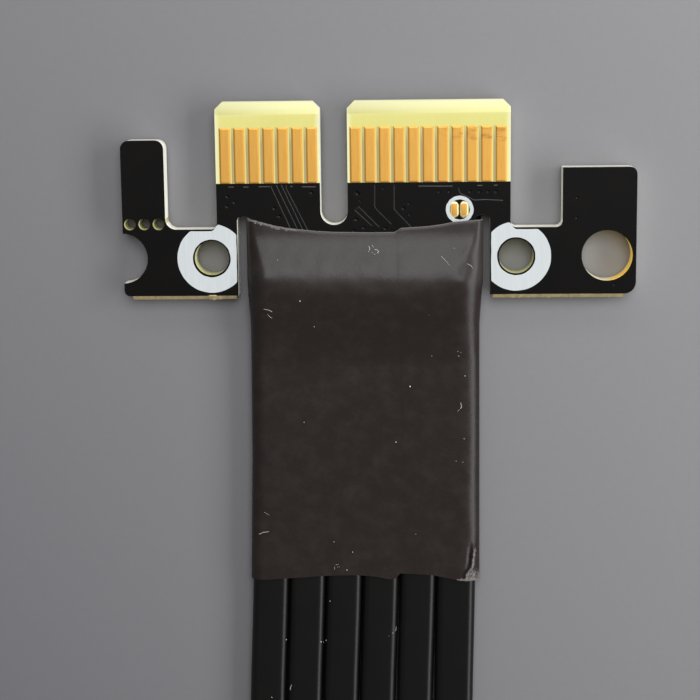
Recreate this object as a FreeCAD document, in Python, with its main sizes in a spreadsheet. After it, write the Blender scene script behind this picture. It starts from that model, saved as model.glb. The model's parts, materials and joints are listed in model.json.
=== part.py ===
import FreeCAD, Part
import math
import os
import re
import Sketcher

# A flexible PCI Express x1 riser card, lying flat on its shrink sleeves: a plug board with a gold
# card edge, six flat twin-axial cables, and a small board with an x1 socket at the far end.
#
# Every piece is drawn in the frame of its own end of the riser: X runs along the card edge from
# its middle, Y is 0 at the card edge and falls towards the cables, Z is up. The far end is the
# same frame turned by half a turn. Each body's Placement then carries it to the part's origin,
# which is under the middle of the plug end, on the surface that the sleeves rest on.

os.makedirs("parts", exist_ok=True)

SIZES = {
    # Plug board: layers
    "board_thick": (1.48, "laminate with its inner copper"),
    "mask_thick": (0.03, "solder mask, each face"),
    "pad_thick": (0.045, "plated copper standing on the laminate"),
    "print_thick": (0.02, "white screen print on the mask"),
    # Plug board: the two tabs of the card edge
    "edge_half": (10.15, "half the length over both tabs"),
    "key_x": (2.0, "key notch, left of the middle"),
    "key_width": (1.9, "key notch"),
    "key_depth": (8.5, "card edge to the round end of the key notch"),
    "tab_chamfer": (0.5, "corner cut of each tab"),
    "bevel_run": (0.88, "bevel of the card edge, along the board"),
    "bevel_drop": (0.29, "bevel of the card edge, into each face"),
    # Plug board: outline beside the tabs
    "left_edge": (16.75, "middle to the snapped left side"),
    "right_edge": (18.8, "middle to the right side"),
    "left_hook_top": (2.57, "card edge to the top of the left hook"),
    "left_hook_side": (13.75, "middle to the inner side of the left hook"),
    "left_hook_round": (0.6, "top corners of the left hook"),
    "right_hook_top": (4.66, "card edge to the top of the right hook"),
    "right_hook_side": (13.72, "middle to the inner side of the right hook"),
    "right_hook_round": (0.5, "outer top corner of the right hook"),
    "cutout_depth": (8.75, "card edge to the floor of the side cut-outs"),
    "cutout_hook_round": (0.75, "left cut-out, corner at the hook"),
    "cutout_tab_round": (0.44, "cut-outs, corners at the tabs"),
    "ear_depth": (13.41, "card edge to the back of the board"),
    "left_ear_round": (0.4, "back corner of the left ear"),
    "right_ear_round": (0.8, "back corner of the right ear"),
    "tongue_half": (7.75, "half the tongue that the sleeve grips"),
    "slot_width": (1.0, "slots beside the tongue"),
    "slot_top": (7.87, "card edge to the closed ends of the slots"),
    "slot_round": (0.35, "corners of the slots' closed ends"),
    "score_depth": (0.31, "snapped web standing out behind the ears"),
    "score_web": (0.4, "thickness of the snapped web"),
    "score_inset": (0.55, "left ear's corner to the end of the web"),
    "score_slot_inset": (0.1833, "slots to the ends of the web"),
    # Plug board: holes
    "hole_row": (10.75, "card edge to the line of the holes"),
    "screw_x": (10.55, "middle to each M2 screw hole"),
    "screw_hole": (2.4, "M2 screw hole"),
    "post_x": (16.8, "middle to the post hole and its cut half"),
    "post_hole": (3.5, "post hole"),
    "perforation_hole": (0.8, "break-off perforation"),
    "perforation_pitch": (1.0, "break-off perforation"),
    "perforation_count": (3, "break-off perforation"),
    "perforation_x": (16.22, "middle to the first perforation"),
    "perforation_y": (8.37, "card edge to the perforations"),
    # Plug board: contacts, pads and print
    "contact_pitch": (1.0, "card edge contacts"),
    "contact_width": (0.7, "card edge contacts"),
    "contact_top": (1.78, "card edge to the contacts"),
    "contact_end": (5.6, "card edge to where the mask covers them"),
    "contact_taper": (30.0, "etched flank of each contact, in degrees"),
    "long_tab_first": (0.5, "middle to the first contact of the long tab"),
    "long_tab_count": (11, "contacts on each face"),
    "short_tab_first": (3.5, "middle to the first contact of the short tab"),
    "short_tab_count": (7, "contacts on each face"),
    "test_pad_x": (6.62, "middle to the pair of test pads"),
    "test_pad_y": (7.49, "card edge to the pair of test pads"),
    "test_pad_apart": (0.72, "between the two test pads' middles"),
    "test_pad_width": (0.52, "test pad with round ends"),
    "test_pad_length": (1.03, "test pad with round ends"),
    "pad_window": (0.06, "mask opening round a pad"),
    "ring_inner": (1.33, "inner radius of the printed ring at a screw hole"),
    "ring_outer": (2.42, "outer radius of the printed ring at a screw hole"),
    "ring_margin": (0.15, "printed ring to the edge of the cut-out"),
    "test_ring_inner": (0.72, "inner radius of the ring round the test pads"),
    "test_ring_outer": (0.98, "outer radius of the ring round the test pads"),
    # Cables and their stripped ends, the same at both ends of the riser
    "cable_count": (6, "flat twin-axial cables"),
    "cable_pitch": (2.61, "between cables inside the sleeves"),
    "cable_width": (2.55, "flat cable over its jacket"),
    "cable_thick": (1.35, "flat cable over its jacket"),
    "cable_row_x": (-0.03, "middle of the row of cables"),
    "cable_lift": (0.06, "cable above the sleeve's lower wall"),
    "core_width": (1.1, "pair of insulated cores"),
    "core_thick": (0.55, "pair of insulated cores"),
    "core_aside": (0.25, "pair of cores, left of the cable's middle"),
    "core_clear": (0.19, "board's back edge to where the cores lie level"),
    "core_rise": (1.6, "rise of the cores on to the board, along the board"),
    "core_out": (0.8, "jacket's end to where the cores start to rise"),
    "core_setback": (1.01, "board's back edge to the end of the insulation"),
    "core_gap": (0.02, "cores above the pads"),
    "drain_width": (0.26, "drain wire"),
    "drain_aside": (0.75, "drain wire, right of the cable's middle"),
    "wire_apart": (0.6, "between the two conductors of a cable"),
    "joint_height": (0.36, "soldered wire end above its pad"),
    "joint_top_width": (0.22, "soldered wire end"),
    "joint_width": (0.42, "soldered wire end at its pad"),
    "joint_length": (1.3, "soldered wire end, beyond the insulation"),
    "wire_pad_width": (0.5, "pad under a wire end"),
    "wire_pad_over": (0.2, "pad beyond the soldered wire end"),
    "wire_pad_length": (1.9, "pad under a wire end"),
    "bare_over": (0.2, "bare laminate beyond the pads on the tongue"),
    # Shrink sleeve
    "sleeve_wall": (0.15, "shrunk wall"),
    "sleeve_start": (7.95, "datum edge to the sleeve's front corners"),
    "sleeve_mouth": (1.07, "hollow of the front edge"),
    "sleeve_step_before": (3.21, "top starts to rise, ahead of the board's back edge"),
    "sleeve_step_run": (1.0, "rise of the top over the wire ends, along the board"),
    "sleeve_fall_behind": (0.09, "top starts to fall, behind the board's back edge"),
    "sleeve_fall_run": (2.3, "fall of the top on to the cables, along the cables"),
    "sleeve_end": (34.05, "datum edge to the sleeve's rear corners"),
    "sleeve_tail": (0.5, "hollow of the rear edge"),
    "sleeve_front_left": (0.17, "room beside the tongue and the row of cables, left"),
    "sleeve_front_right": (0.38, "room beside the tongue and the row of cables, right"),
    "sleeve_waist_left": (0.02, "room beside the row of cables behind the tongue, left"),
    "sleeve_waist_right": (0.12, "room beside the row of cables behind the tongue, right"),
    "sleeve_rear_left": (0.4, "room beside the row of cables at the rear end, left"),
    "sleeve_rear_right": (0.13, "room beside the row of cables at the rear end, right"),
    "sleeve_front_round": (0.2, "inner corners over the tongue"),
    "sleeve_rear_round": (0.55, "inner corners over the cables"),
    "sleeve_bulge": (0.95, "room over the board for the wire ends"),
    "sleeve_slack": (0.04, "room over the cables"),
    "sleeve_flat": (0.01, "lower skin pressed flat by the part's weight"),
    "sleeve_clear": (1.0, "the flat's cut beyond the sleeve, all round"),
    # Socket board at the far end
    "end_spacing": (150.0, "plug board's card edge to the socket board's datum"),
    "socket_board_half": (14.0, "half the length of the socket board"),
    "socket_board_front": (2.2, "socket board beyond its datum"),
    "socket_board_back": (7.8, "datum to the shoulders of the socket board"),
    "socket_board_round": (1.0, "corners of the socket board"),
    "socket_y": (2.95, "datum to the middle of the socket"),
    "socket_length": (25.0, "housing"),
    "socket_base_half": (3.75, "half the width of the housing's foot"),
    "socket_body_half": (3.1, "half the width of the housing's walls"),
    "socket_foot_top": (2.4, "underside to the top of the foot"),
    "socket_slope_top": (3.0, "underside to the walls"),
    "socket_height": (10.75, "underside to the top"),
    "socket_top_chamfer": (0.5, "outer edges of the top"),
    "socket_standoff": (0.5, "underside of the housing above the mask"),
    "socket_stand_length": (1.6, "stand at each end of the housing"),
    "socket_slot_half": (0.875, "half the width of the card slot"),
    "socket_slot_depth": (8.0, "depth of the card slot"),
    "socket_slot_fit": (0.15, "card slot longer than the tab, each end"),
    "socket_cell_width": (0.6, "cell of one contact"),
    "socket_cell_half": (1.85, "middle of the slot to the back of a cell"),
    "spring_width": (0.5, "contact spring"),
    "spring_thick": (0.2, "contact spring"),
    "spring_back": (1.78, "middle of the slot to the back of the spring's leg"),
    "spring_touch": (0.6, "middle of the slot to the touching bow"),
    "spring_bow_low": (4.0, "board's mask to the foot of the bow"),
    "spring_bow_high": (6.6, "board's mask to the touching bow"),
    "spring_top": (8.4, "board's mask to the tip of the spring"),
    "tail_reach": (4.5, "middle of the slot to the end of the soldered tail"),
    "socket_pad_width": (0.6, "pad under a tail"),
    "socket_pad_inner": (3.3, "middle of the slot to the pads"),
    "socket_pad_outer": (4.7, "middle of the slot to the ends of the pads"),
}

# Cable routes, from the plug end's sleeve to the socket end's, each point as X, Y and Z in the
# plug end's frame. The cables spread a little on the table and come together again. A cable's
# jacket starts and ends in line with its first and last point, at the boards.
ROUTES = {
    "flat_cable_1": [
        (-6.555, -28.0, 0.885),
        (-7.885, -52.0, 0.68),
        (-6.705, -98.0, 0.68),
        (-6.555, -122.0, 0.885),
    ],
    "flat_cable_2": [
        (-3.945, -28.0, 0.885),
        (-4.905, -52.0, 0.68),
        (-3.895, -98.0, 0.68),
        (-3.945, -122.0, 0.885),
    ],
    "flat_cable_3": [
        (-1.335, -28.0, 0.885),
        (-2.165, -52.0, 0.68),
        (-1.085, -98.0, 0.68),
        (-1.335, -122.0, 0.885),
    ],
    "flat_cable_4": [
        (1.275, -28.0, 0.885),
        (0.8, -52.0, 0.68),
        (1.725, -98.0, 0.68),
        (1.275, -122.0, 0.885),
    ],
    "flat_cable_5": [
        (3.885, -28.0, 0.885),
        (3.525, -52.0, 0.68),
        (4.635, -98.0, 0.68),
        (3.885, -122.0, 0.885),
    ],
    "flat_cable_6": [
        (6.495, -28.0, 0.885),
        (6.585, -52.0, 0.68),
        (7.595, -98.0, 0.68),
        (6.495, -122.0, 0.885),
    ],
}
ARC_SHARE = 0.45

doc = FreeCAD.newDocument("riser_card")
sheet = doc.addObject("Spreadsheet::Sheet", "Sizes")
for row, (alias, (value, note)) in enumerate(SIZES.items(), start=1):
    sheet.set(f"A{row}", alias.replace("_", " "))
    sheet.set(f"B{row}", str(value))
    sheet.setAlias(f"B{row}", alias)
    sheet.set(f"C{row}", note)
doc.recompute()

# Heights that several pieces share, as expressions of the sheet
BOARD_Z = "sleeve_wall + mask_thick"
BOARD_TOP = f"({BOARD_Z} + board_thick)"
MASK_TOP = f"({BOARD_TOP} + mask_thick)"
PAD_TOP = f"({BOARD_TOP} + pad_thick)"
CABLE_Z = "(sleeve_wall + cable_lift + cable_thick / 2)"

# Distances from a board's datum edge that several pieces share, all from the board's back edge
CORE_LEVEL = "(ear_depth + core_clear)"
CORE_LOW = f"({CORE_LEVEL} + core_rise)"
JACKET_END = f"({CORE_LOW} + core_out)"
CORE_END = "(ear_depth - core_setback)"
JOINT_START = f"({CORE_END} - joint_length)"
WIRE_PAD_START = f"({JOINT_START} - wire_pad_over)"
BARE_START = f"({WIRE_PAD_START} - bare_over)"

parts = []


# ---- Names, numbers and places -------------------------------------------------------------


def bound(text):
    """The expression with each alias written as the sheet's own."""
    return re.sub(r"[a-z][a-z_]+", lambda word: owned(word.group(0)), str(text))


def owned(word):
    return "Sizes." + word if word in SIZES else word


def number(text):
    """The value of an expression of the sheet, now."""
    result = sheet.evalExpression(str(text))
    return float(getattr(result, "Value", result))


def place(item, far, z):
    """Carry a piece from the frame of its end of the riser to the part's origin."""
    x = "(left_edge - right_edge) / 2"
    y = "sleeve_end / 2"
    if far:
        x += " + 2 * cable_row_x"
        y += " - end_spacing"
        item.Placement = FreeCAD.Placement(
            FreeCAD.Vector(), FreeCAD.Rotation(FreeCAD.Vector(0, 0, 1), 180)
        )
    item.setExpression("Placement.Base.x", bound(x))
    item.setExpression("Placement.Base.y", bound(y))
    item.setExpression("Placement.Base.z", bound(z))
    parts.append(item)


def new_body(name, far=False, z="0"):
    body = doc.addObject("PartDesign::Body", name)
    body.Label = name
    body.AllowCompound = True
    place(body, far, z)
    return body


# ---- Sketches ------------------------------------------------------------------------------


def new_sketch(body, plane, offset="0"):
    """A sketch on one of the body's own planes, moved along the plane's normal."""
    sketch = body.newObject("Sketcher::SketchObject", body.Name + "_sketch")
    support = [item for item in body.Origin.OriginFeatures if item.Role == plane]
    sketch.AttachmentSupport = [(support[0], "")]
    sketch.MapMode = "FlatFace"
    sketch.setExpression("AttachmentOffset.Base.z", bound(offset))
    return sketch


def fix_point(constraints, expressions, geometry, position, x, y):
    """Tie one point of a sketch to two expressions, as distances from the sketch's origin."""
    for kind, text in (("DistanceX", x), ("DistanceY", y)):
        constraints.append(
            Sketcher.Constraint(kind, -1, 1, geometry, position, number(text))
        )
        expressions.append((len(constraints) - 1, text))


def apply(sketch, constraints, expressions):
    first = sketch.ConstraintCount
    sketch.addConstraint(constraints)
    for index, text in expressions:
        sketch.setExpression(f"Constraints[{first + index}]", bound(text))


def outline(sketch, corners):
    """A closed outline through corners given as (x, y) or (x, y, radius), all expressions."""
    points = [FreeCAD.Vector(number(corner[0]), number(corner[1]), 0) for corner in corners]
    count = len(corners)
    arrive = list(points)
    leave = list(points)
    middle = {}
    for index, corner in enumerate(corners):
        if len(corner) < 3:
            continue
        back = (points[index - 1] - points[index]).normalize()
        ahead = (points[(index + 1) % count] - points[index]).normalize()
        half = back.getAngle(ahead) / 2
        radius = number(corner[2])
        arrive[index] = points[index] + back * (radius / math.tan(half))
        leave[index] = points[index] + ahead * (radius / math.tan(half))
        inward = (back + ahead).normalize()
        middle[index] = points[index] + inward * (radius / math.sin(half) - radius)
    line = [
        sketch.addGeometry(Part.LineSegment(leave[index], arrive[(index + 1) % count]), False)
        for index in range(count)
    ]
    constraints = []
    expressions = []
    for index, corner in enumerate(corners):
        before = line[index - 1]
        after = line[index]
        if index not in middle:
            constraints.append(Sketcher.Constraint("Coincident", before, 2, after, 1))
            fix_point(constraints, expressions, after, 1, corner[0], corner[1])
            continue
        arc = sketch.addGeometry(Part.Arc(arrive[index], middle[index], leave[index]), False)
        forward = sketch.getPoint(arc, 1).distanceToPoint(arrive[index]) < 1e-6
        start, end = (1, 2) if forward else (2, 1)
        corner_point = sketch.addGeometry(Part.Point(points[index]), True)
        constraints.append(Sketcher.Constraint("Tangent", before, 2, arc, start))
        constraints.append(Sketcher.Constraint("Tangent", arc, end, after, 1))
        constraints.append(Sketcher.Constraint("PointOnObject", corner_point, 1, before))
        constraints.append(Sketcher.Constraint("PointOnObject", corner_point, 1, after))
        fix_point(constraints, expressions, corner_point, 1, corner[0], corner[1])
        constraints.append(Sketcher.Constraint("Radius", arc, number(corner[2])))
        expressions.append((len(constraints) - 1, corner[2]))
    apply(sketch, constraints, expressions)


def rectangle(sketch, left, low, right, high):
    outline(sketch, [(left, low), (left, high), (right, high), (right, low)])


def circle(sketch, x, y, radius):
    centre = FreeCAD.Vector(number(x), number(y), 0)
    geometry = sketch.addGeometry(
        Part.Circle(centre, FreeCAD.Vector(0, 0, 1), number(radius)), False
    )
    constraints = []
    expressions = []
    fix_point(constraints, expressions, geometry, 3, x, y)
    constraints.append(Sketcher.Constraint("Radius", geometry, number(radius)))
    expressions.append((len(constraints) - 1, radius))
    apply(sketch, constraints, expressions)


def long_hole(sketch, x, y, length, width):
    """An upright slot shape with round ends, about its middle."""
    radius = f"({width}) / 2"
    reach = f"(({length}) - ({width})) / 2"
    high = f"{y} + {reach}"
    low = f"{y} - {reach}"
    top = FreeCAD.Vector(number(x), number(high), 0)
    bottom = FreeCAD.Vector(number(x), number(low), 0)
    side = FreeCAD.Vector(number(radius), 0, 0)
    up = FreeCAD.Vector(0, number(radius), 0)
    upper = sketch.addGeometry(Part.Arc(top + side, top + up, top - side), False)
    left = sketch.addGeometry(Part.LineSegment(top - side, bottom - side), False)
    lower = sketch.addGeometry(Part.Arc(bottom - side, bottom - up, bottom + side), False)
    right = sketch.addGeometry(Part.LineSegment(bottom + side, top + side), False)
    constraints = [
        Sketcher.Constraint("Tangent", upper, 2, left, 1),
        Sketcher.Constraint("Tangent", left, 2, lower, 1),
        Sketcher.Constraint("Tangent", lower, 2, right, 1),
        Sketcher.Constraint("Tangent", right, 2, upper, 1),
    ]
    expressions = []
    fix_point(constraints, expressions, upper, 3, x, high)
    constraints.append(Sketcher.Constraint("DistanceY", -1, 1, lower, 3, number(low)))
    expressions.append((len(constraints) - 1, low))
    constraints.append(Sketcher.Constraint("Radius", upper, number(radius)))
    expressions.append((len(constraints) - 1, radius))
    apply(sketch, constraints, expressions)


# ---- Features ------------------------------------------------------------------------------


def pad(body, sketch, length, both_ways=False, down=False, taper=None):
    feature = body.newObject("PartDesign::Pad", body.Name + "_pad")
    feature.Profile = sketch
    feature.setExpression("Length", bound(length))
    feature.Midplane = both_ways
    feature.Reversed = down
    if taper:
        feature.setExpression("TaperAngle", bound(taper))
    doc.recompute()
    return feature


def pocket(body, sketch, length=None, both_ways=False, up=False):
    """Cut the sketch through the body, or to a depth; a cut that removes nothing is an error."""
    before = body.Shape.Volume
    feature = body.newObject("PartDesign::Pocket", body.Name + "_pocket")
    feature.Profile = sketch
    if length is None:
        feature.Type = "ThroughAll"
    else:
        feature.setExpression("Length", bound(length))
    feature.Midplane = both_ways
    feature.Reversed = up
    doc.recompute()
    if body.Shape.Volume > before - 1e-6:
        raise RuntimeError(f"{body.Label}: {feature.Name} removes nothing")
    return feature


def repeat(body, feature, pitch, count, backwards=False):
    """A row of one feature along X."""
    row = body.newObject("PartDesign::LinearPattern", body.Name + "_row")
    row.Originals = [feature]
    axis = [item for item in body.Origin.OriginFeatures if item.Role == "X_Axis"]
    row.Direction = (axis[0], [""])
    row.Mode = "Spacing"
    row.setExpression("Offset", bound(pitch))
    row.setExpression("Occurrences", bound(count))
    row.Reversed = backwards
    body.Tip = row
    doc.recompute()
    return row


# ---- Plug board ----------------------------------------------------------------------------


def tabs_to_card_edge():
    """The two tabs with their corner cuts, left to right, and the key notch between them."""
    cut = "tab_chamfer"
    key_left = "-key_x - key_width / 2"
    key_right = "-key_x + key_width / 2"
    floor = "-key_depth + key_width / 2"
    return [
        ("-edge_half", f"-{cut}"),
        (f"-edge_half + {cut}", "0"),
        (f"{key_left} - {cut}", "0"),
        (key_left, f"-{cut}"),
        (key_left, floor),
        (key_right, floor),
        (key_right, f"-{cut}"),
        (f"{key_right} + {cut}", "0"),
        (f"edge_half - {cut}", "0"),
        ("edge_half", f"-{cut}"),
    ]


def tabs_to_contacts():
    """The stumps of the two tabs that the mask covers, as far as the contacts."""
    key_left = "-key_x - key_width / 2"
    key_right = "-key_x + key_width / 2"
    floor = "-key_depth + key_width / 2"
    return [
        ("-edge_half", "-contact_end"),
        (key_left, "-contact_end"),
        (key_left, floor),
        (key_right, floor),
        (key_right, "-contact_end"),
        ("edge_half", "-contact_end"),
    ]


def plug_board_outline(tabs, tongue_end):
    """The plug board seen from above, clockwise from the left ear's back corner."""
    ear = "-ear_depth"
    slot = "tongue_half + slot_width"
    return [
        ("-left_edge", ear, "left_ear_round"),
        ("-left_edge", "-left_hook_top", "left_hook_round"),
        ("-left_hook_side", "-left_hook_top", "left_hook_round"),
        ("-left_hook_side", "-cutout_depth", "cutout_hook_round"),
        ("-edge_half", "-cutout_depth", "cutout_tab_round"),
        *tabs,
        ("edge_half", "-cutout_depth", "cutout_tab_round"),
        ("right_hook_side", "-cutout_depth", "cutout_tab_round"),
        ("right_hook_side", "-right_hook_top"),
        ("right_edge", "-right_hook_top", "right_hook_round"),
        ("right_edge", ear, "right_ear_round"),
        (slot, ear),
        (slot, "-slot_top", "slot_round"),
        ("tongue_half", "-slot_top", "slot_round"),
        ("tongue_half", tongue_end),
        ("-tongue_half", tongue_end),
        ("-tongue_half", "-slot_top", "slot_round"),
        (f"-({slot})", "-slot_top", "slot_round"),
        (f"-({slot})", ear),
    ]


def drill_plug_board(body):
    """Screw holes, post hole and its cut half, the key notch's round end and the perforations."""
    top = "board_thick + 2 * mask_thick"
    holes = new_sketch(body, "XY_Plane", top)
    circle(holes, "-screw_x", "-hole_row", "screw_hole / 2")
    circle(holes, "screw_x", "-hole_row", "screw_hole / 2")
    circle(holes, "-post_x", "-hole_row", "post_hole / 2")
    circle(holes, "post_x", "-hole_row", "post_hole / 2")
    circle(holes, "-key_x", "-key_depth + key_width / 2", "key_width / 2")
    pocket(body, holes)
    perforation = new_sketch(body, "XY_Plane", top)
    circle(perforation, "-perforation_x", "-perforation_y", "perforation_hole / 2")
    cut = pocket(body, perforation)
    repeat(body, cut, "perforation_pitch", "perforation_count")


def snapped_web(body, left, right):
    """The rough web that the snapped V-score leaves standing out behind an ear."""
    side = new_sketch(body, "YZ_Plane", left)
    low = "mask_thick"
    high = "mask_thick + board_thick"
    web_low = "mask_thick + (board_thick - score_web) / 2"
    web_high = "mask_thick + (board_thick + score_web) / 2"
    edge = "-ear_depth - score_depth"
    outline(side, [("-ear_depth", low), (edge, web_low), (edge, web_high), ("-ear_depth", high)])
    pad(body, side, f"({right}) - ({left})")


def layered_board(body, laminate, front_mask, back_mask):
    """The laminate with the solder mask that is printed on both of its faces."""
    layers = (
        (laminate, "mask_thick", "board_thick"),
        (back_mask, "0", "mask_thick"),
        (front_mask, "mask_thick + board_thick", "mask_thick"),
    )
    for corners, height, thickness in layers:
        plan = new_sketch(body, "XY_Plane", height)
        outline(plan, corners)
        pad(body, plan, thickness)


def circuit_board():
    body = new_body("circuit_board", z="sleeve_wall")
    layered_board(
        body,
        plug_board_outline(tabs_to_card_edge(), "-ear_depth"),
        plug_board_outline(tabs_to_contacts(), f"-{BARE_START}"),
        plug_board_outline(tabs_to_contacts(), "-ear_depth"),
    )
    low = "mask_thick"
    high = "(mask_thick + board_thick)"
    bevel = new_sketch(body, "YZ_Plane")
    outline(bevel, [("0", f"{low} + bevel_drop"), ("0", low), ("-bevel_run", low)])
    outline(bevel, [("0", f"{high} - bevel_drop"), ("0", high), ("-bevel_run", high)])
    pocket(body, bevel, both_ways=True)
    slot = "(tongue_half + slot_width)"
    snapped_web(body, "-left_edge + score_inset", f"-{slot} - score_slot_inset")
    snapped_web(body, f"{slot} + score_slot_inset", "right_edge - right_ear_round")
    drill_plug_board(body)
    opening = new_sketch(body, "XY_Plane", f"{high} + mask_thick")
    for side in "-+":
        long_hole(
            opening,
            f"test_pad_x {side} test_pad_apart / 2",
            "-test_pad_y",
            "test_pad_length + 2 * pad_window",
            "test_pad_width + 2 * pad_window",
        )
    pocket(body, opening, "mask_thick")


def contact_row(name, z, down, first, count, backwards):
    """A row of card edge contacts, each a flat pad with etched flanks."""
    body = new_body(name, z=z)
    plan = new_sketch(body, "XY_Plane")
    half = "contact_width / 2"
    rectangle(plan, f"{first} - {half}", "-contact_end", f"{first} + {half}", "-contact_top")
    contact = pad(body, plan, "pad_thick", down=down, taper="-contact_taper")
    repeat(body, contact, "contact_pitch", count, backwards)


def contacts():
    for face, z, down in (("front", BOARD_TOP, False), ("back", BOARD_Z, True)):
        name = f"contacts_{face}_long_tab"
        contact_row(name, z, down, "-long_tab_first", "long_tab_count", False)
        name = f"contacts_{face}_short_tab"
        contact_row(name, z, down, "-short_tab_first", "short_tab_count", True)


def test_pads():
    body = new_body("test_pads", z=BOARD_TOP)
    plan = new_sketch(body, "XY_Plane")
    for side in "-+":
        long_hole(
            plan,
            f"test_pad_x {side} test_pad_apart / 2",
            "-test_pad_y",
            "test_pad_length",
            "test_pad_width",
        )
    pad(body, plan, "pad_thick")


def printed_rings():
    """White rings under the screw heads, cut off at the slots and cut-outs, and a small one."""
    body = new_body("printed_rings", z=MASK_TOP)
    plan = new_sketch(body, "XY_Plane")
    for side in ("-screw_x", "screw_x"):
        circle(plan, side, "-hole_row", "ring_outer")
        circle(plan, side, "-hole_row", "ring_inner")
    circle(plan, "test_pad_x", "-test_pad_y", "test_ring_outer")
    circle(plan, "test_pad_x", "-test_pad_y", "test_ring_inner")
    pad(body, plan, "print_thick")
    trim = new_sketch(body, "XY_Plane", "print_thick")
    slot = "(tongue_half + slot_width)"
    cut_out = "-cutout_depth - ring_margin"
    high = "-hole_row + ring_outer"
    low = "-hole_row - ring_outer"
    for side in ("-", ""):
        near = f"{side}{slot}"
        inner = f"{side}({slot} - slot_width)"
        outer = f"{side}(screw_x + ring_outer)"
        outline(
            trim,
            [(near, low), (near, cut_out), (outer, cut_out), (outer, high), (inner, high), (inner, low)],
        )
    pocket(body, trim)


# ---- Cable ends, the same at both ends of the riser ----------------------------------------


def bent_strip(body, half_thick, start_z, level_z, middle, width):
    """Six strips that leave the cables' end faces and rise over the board's back edge."""
    side = new_sketch(body, "YZ_Plane", middle)
    lean = f"({half_thick}) / 2"
    lower = [
        (f"-{JACKET_END}", f"{start_z} - {half_thick}"),
        (f"-{CORE_LOW} - {lean}", f"{start_z} - {half_thick}"),
        (f"-{CORE_LEVEL} - {lean}", f"{level_z} - {half_thick}"),
        (f"-{CORE_END}", f"{level_z} - {half_thick}"),
    ]
    upper = [
        (f"-{CORE_END}", f"{level_z} + {half_thick}"),
        (f"-{CORE_LEVEL} + {lean}", f"{level_z} + {half_thick}"),
        (f"-{CORE_LOW} + {lean}", f"{start_z} + {half_thick}"),
        (f"-{JACKET_END}", f"{start_z} + {half_thick}"),
    ]
    outline(side, lower + upper)
    strip = pad(body, side, width, both_ways=True)
    repeat(body, strip, "cable_pitch", "cable_count")


def first_cable(far):
    """The middle of the first cable in the frame of this end."""
    sign = "-" if far else ""
    return f"({sign}cable_row_x - (cable_count - 1) * cable_pitch / 2)"


def cable_cores(name, far):
    """Each cable's two cores in their foil, side by side, shown as one flat piece."""
    body = new_body(name, far)
    level = f"({PAD_TOP} + core_gap + core_thick / 2)"
    middle = f"{first_cable(far)} - core_aside"
    bent_strip(body, "(core_thick / 2)", CABLE_Z, level, middle, "core_width")


def drain_wires(name, far):
    body = new_body(name, far)
    level = f"({PAD_TOP} + drain_width / 2)"
    middle = f"{first_cable(far)} + drain_aside"
    bent_strip(body, "(drain_width / 2)", CABLE_Z, level, middle, "drain_width")


def wire_places(far):
    """The two conductors and the drain wire of the first cable."""
    cores = f"{first_cable(far)} - core_aside"
    return [
        f"{cores} - wire_apart / 2",
        f"{cores} + wire_apart / 2",
        f"{first_cable(far)} + drain_aside",
    ]


def wire_pads(name, far):
    body = new_body(name, far, BOARD_TOP)
    near = f"-{WIRE_PAD_START}"
    low = f"{near} - wire_pad_length"
    plan = new_sketch(body, "XY_Plane")
    for middle in wire_places(far):
        half = "wire_pad_width / 2"
        rectangle(plan, f"{middle} - {half}", low, f"{middle} + {half}", near)
    group = pad(body, plan, "pad_thick")
    repeat(body, group, "cable_pitch", "cable_count")


def soldered_ends(name, far):
    """Bare wire ends in their solder, a mound with sloping flanks on each pad."""
    body = new_body(name, far, PAD_TOP)
    across = new_sketch(body, "XZ_Plane", JOINT_START)
    for middle in wire_places(far):
        outline(
            across,
            [
                (f"{middle} - joint_width / 2", "0"),
                (f"{middle} - joint_top_width / 2", "joint_height"),
                (f"{middle} + joint_top_width / 2", "joint_height"),
                (f"{middle} + joint_width / 2", "0"),
            ],
        )
    group = pad(body, across, "joint_length")
    repeat(body, group, "cable_pitch", "cable_count")


# ---- Shrink sleeve -------------------------------------------------------------------------


def sleeve_side(sign, room):
    """Middle to a side of the sleeve, left or right: past the widest thing there, room and wall."""
    row = f"({sign}cable_row_x + (cable_count - 1) * cable_pitch / 2 + cable_width / 2)"
    widest = f"max(tongue_half; {row})" if room.startswith("front") else row
    return f"({widest} + sleeve_{room} + sleeve_wall)"


def sleeve_sections():
    """Stations along the sleeve: distance, left and right side, inner ceiling, inner corner."""
    over_board = f"({MASK_TOP} + print_thick)"
    over_wires = f"({MASK_TOP} + sleeve_bulge)"
    over_cables = f"({CABLE_Z} + cable_thick / 2 + sleeve_slack)"
    front = (sleeve_side("-", "front_left"), sleeve_side("", "front_right"))
    waist = (sleeve_side("-", "waist_left"), sleeve_side("", "waist_right"))
    rear = (sleeve_side("-", "rear_left"), sleeve_side("", "rear_right"))
    step_low = "(ear_depth - sleeve_step_before)"
    step_high = f"({step_low} + sleeve_step_run)"
    fall_high = "(ear_depth + sleeve_fall_behind)"
    fall_low = f"({fall_high} + sleeve_fall_run)"
    return [
        ("sleeve_start", *front, over_board, "sleeve_front_round"),
        (step_low, *front, over_board, "sleeve_front_round"),
        (step_high, *front, over_wires, "sleeve_front_round"),
        (fall_high, *front, over_wires, "sleeve_front_round"),
        (fall_low, *waist, over_cables, "sleeve_rear_round"),
        ("sleeve_end", *rear, over_cables, "sleeve_rear_round"),
    ]


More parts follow.
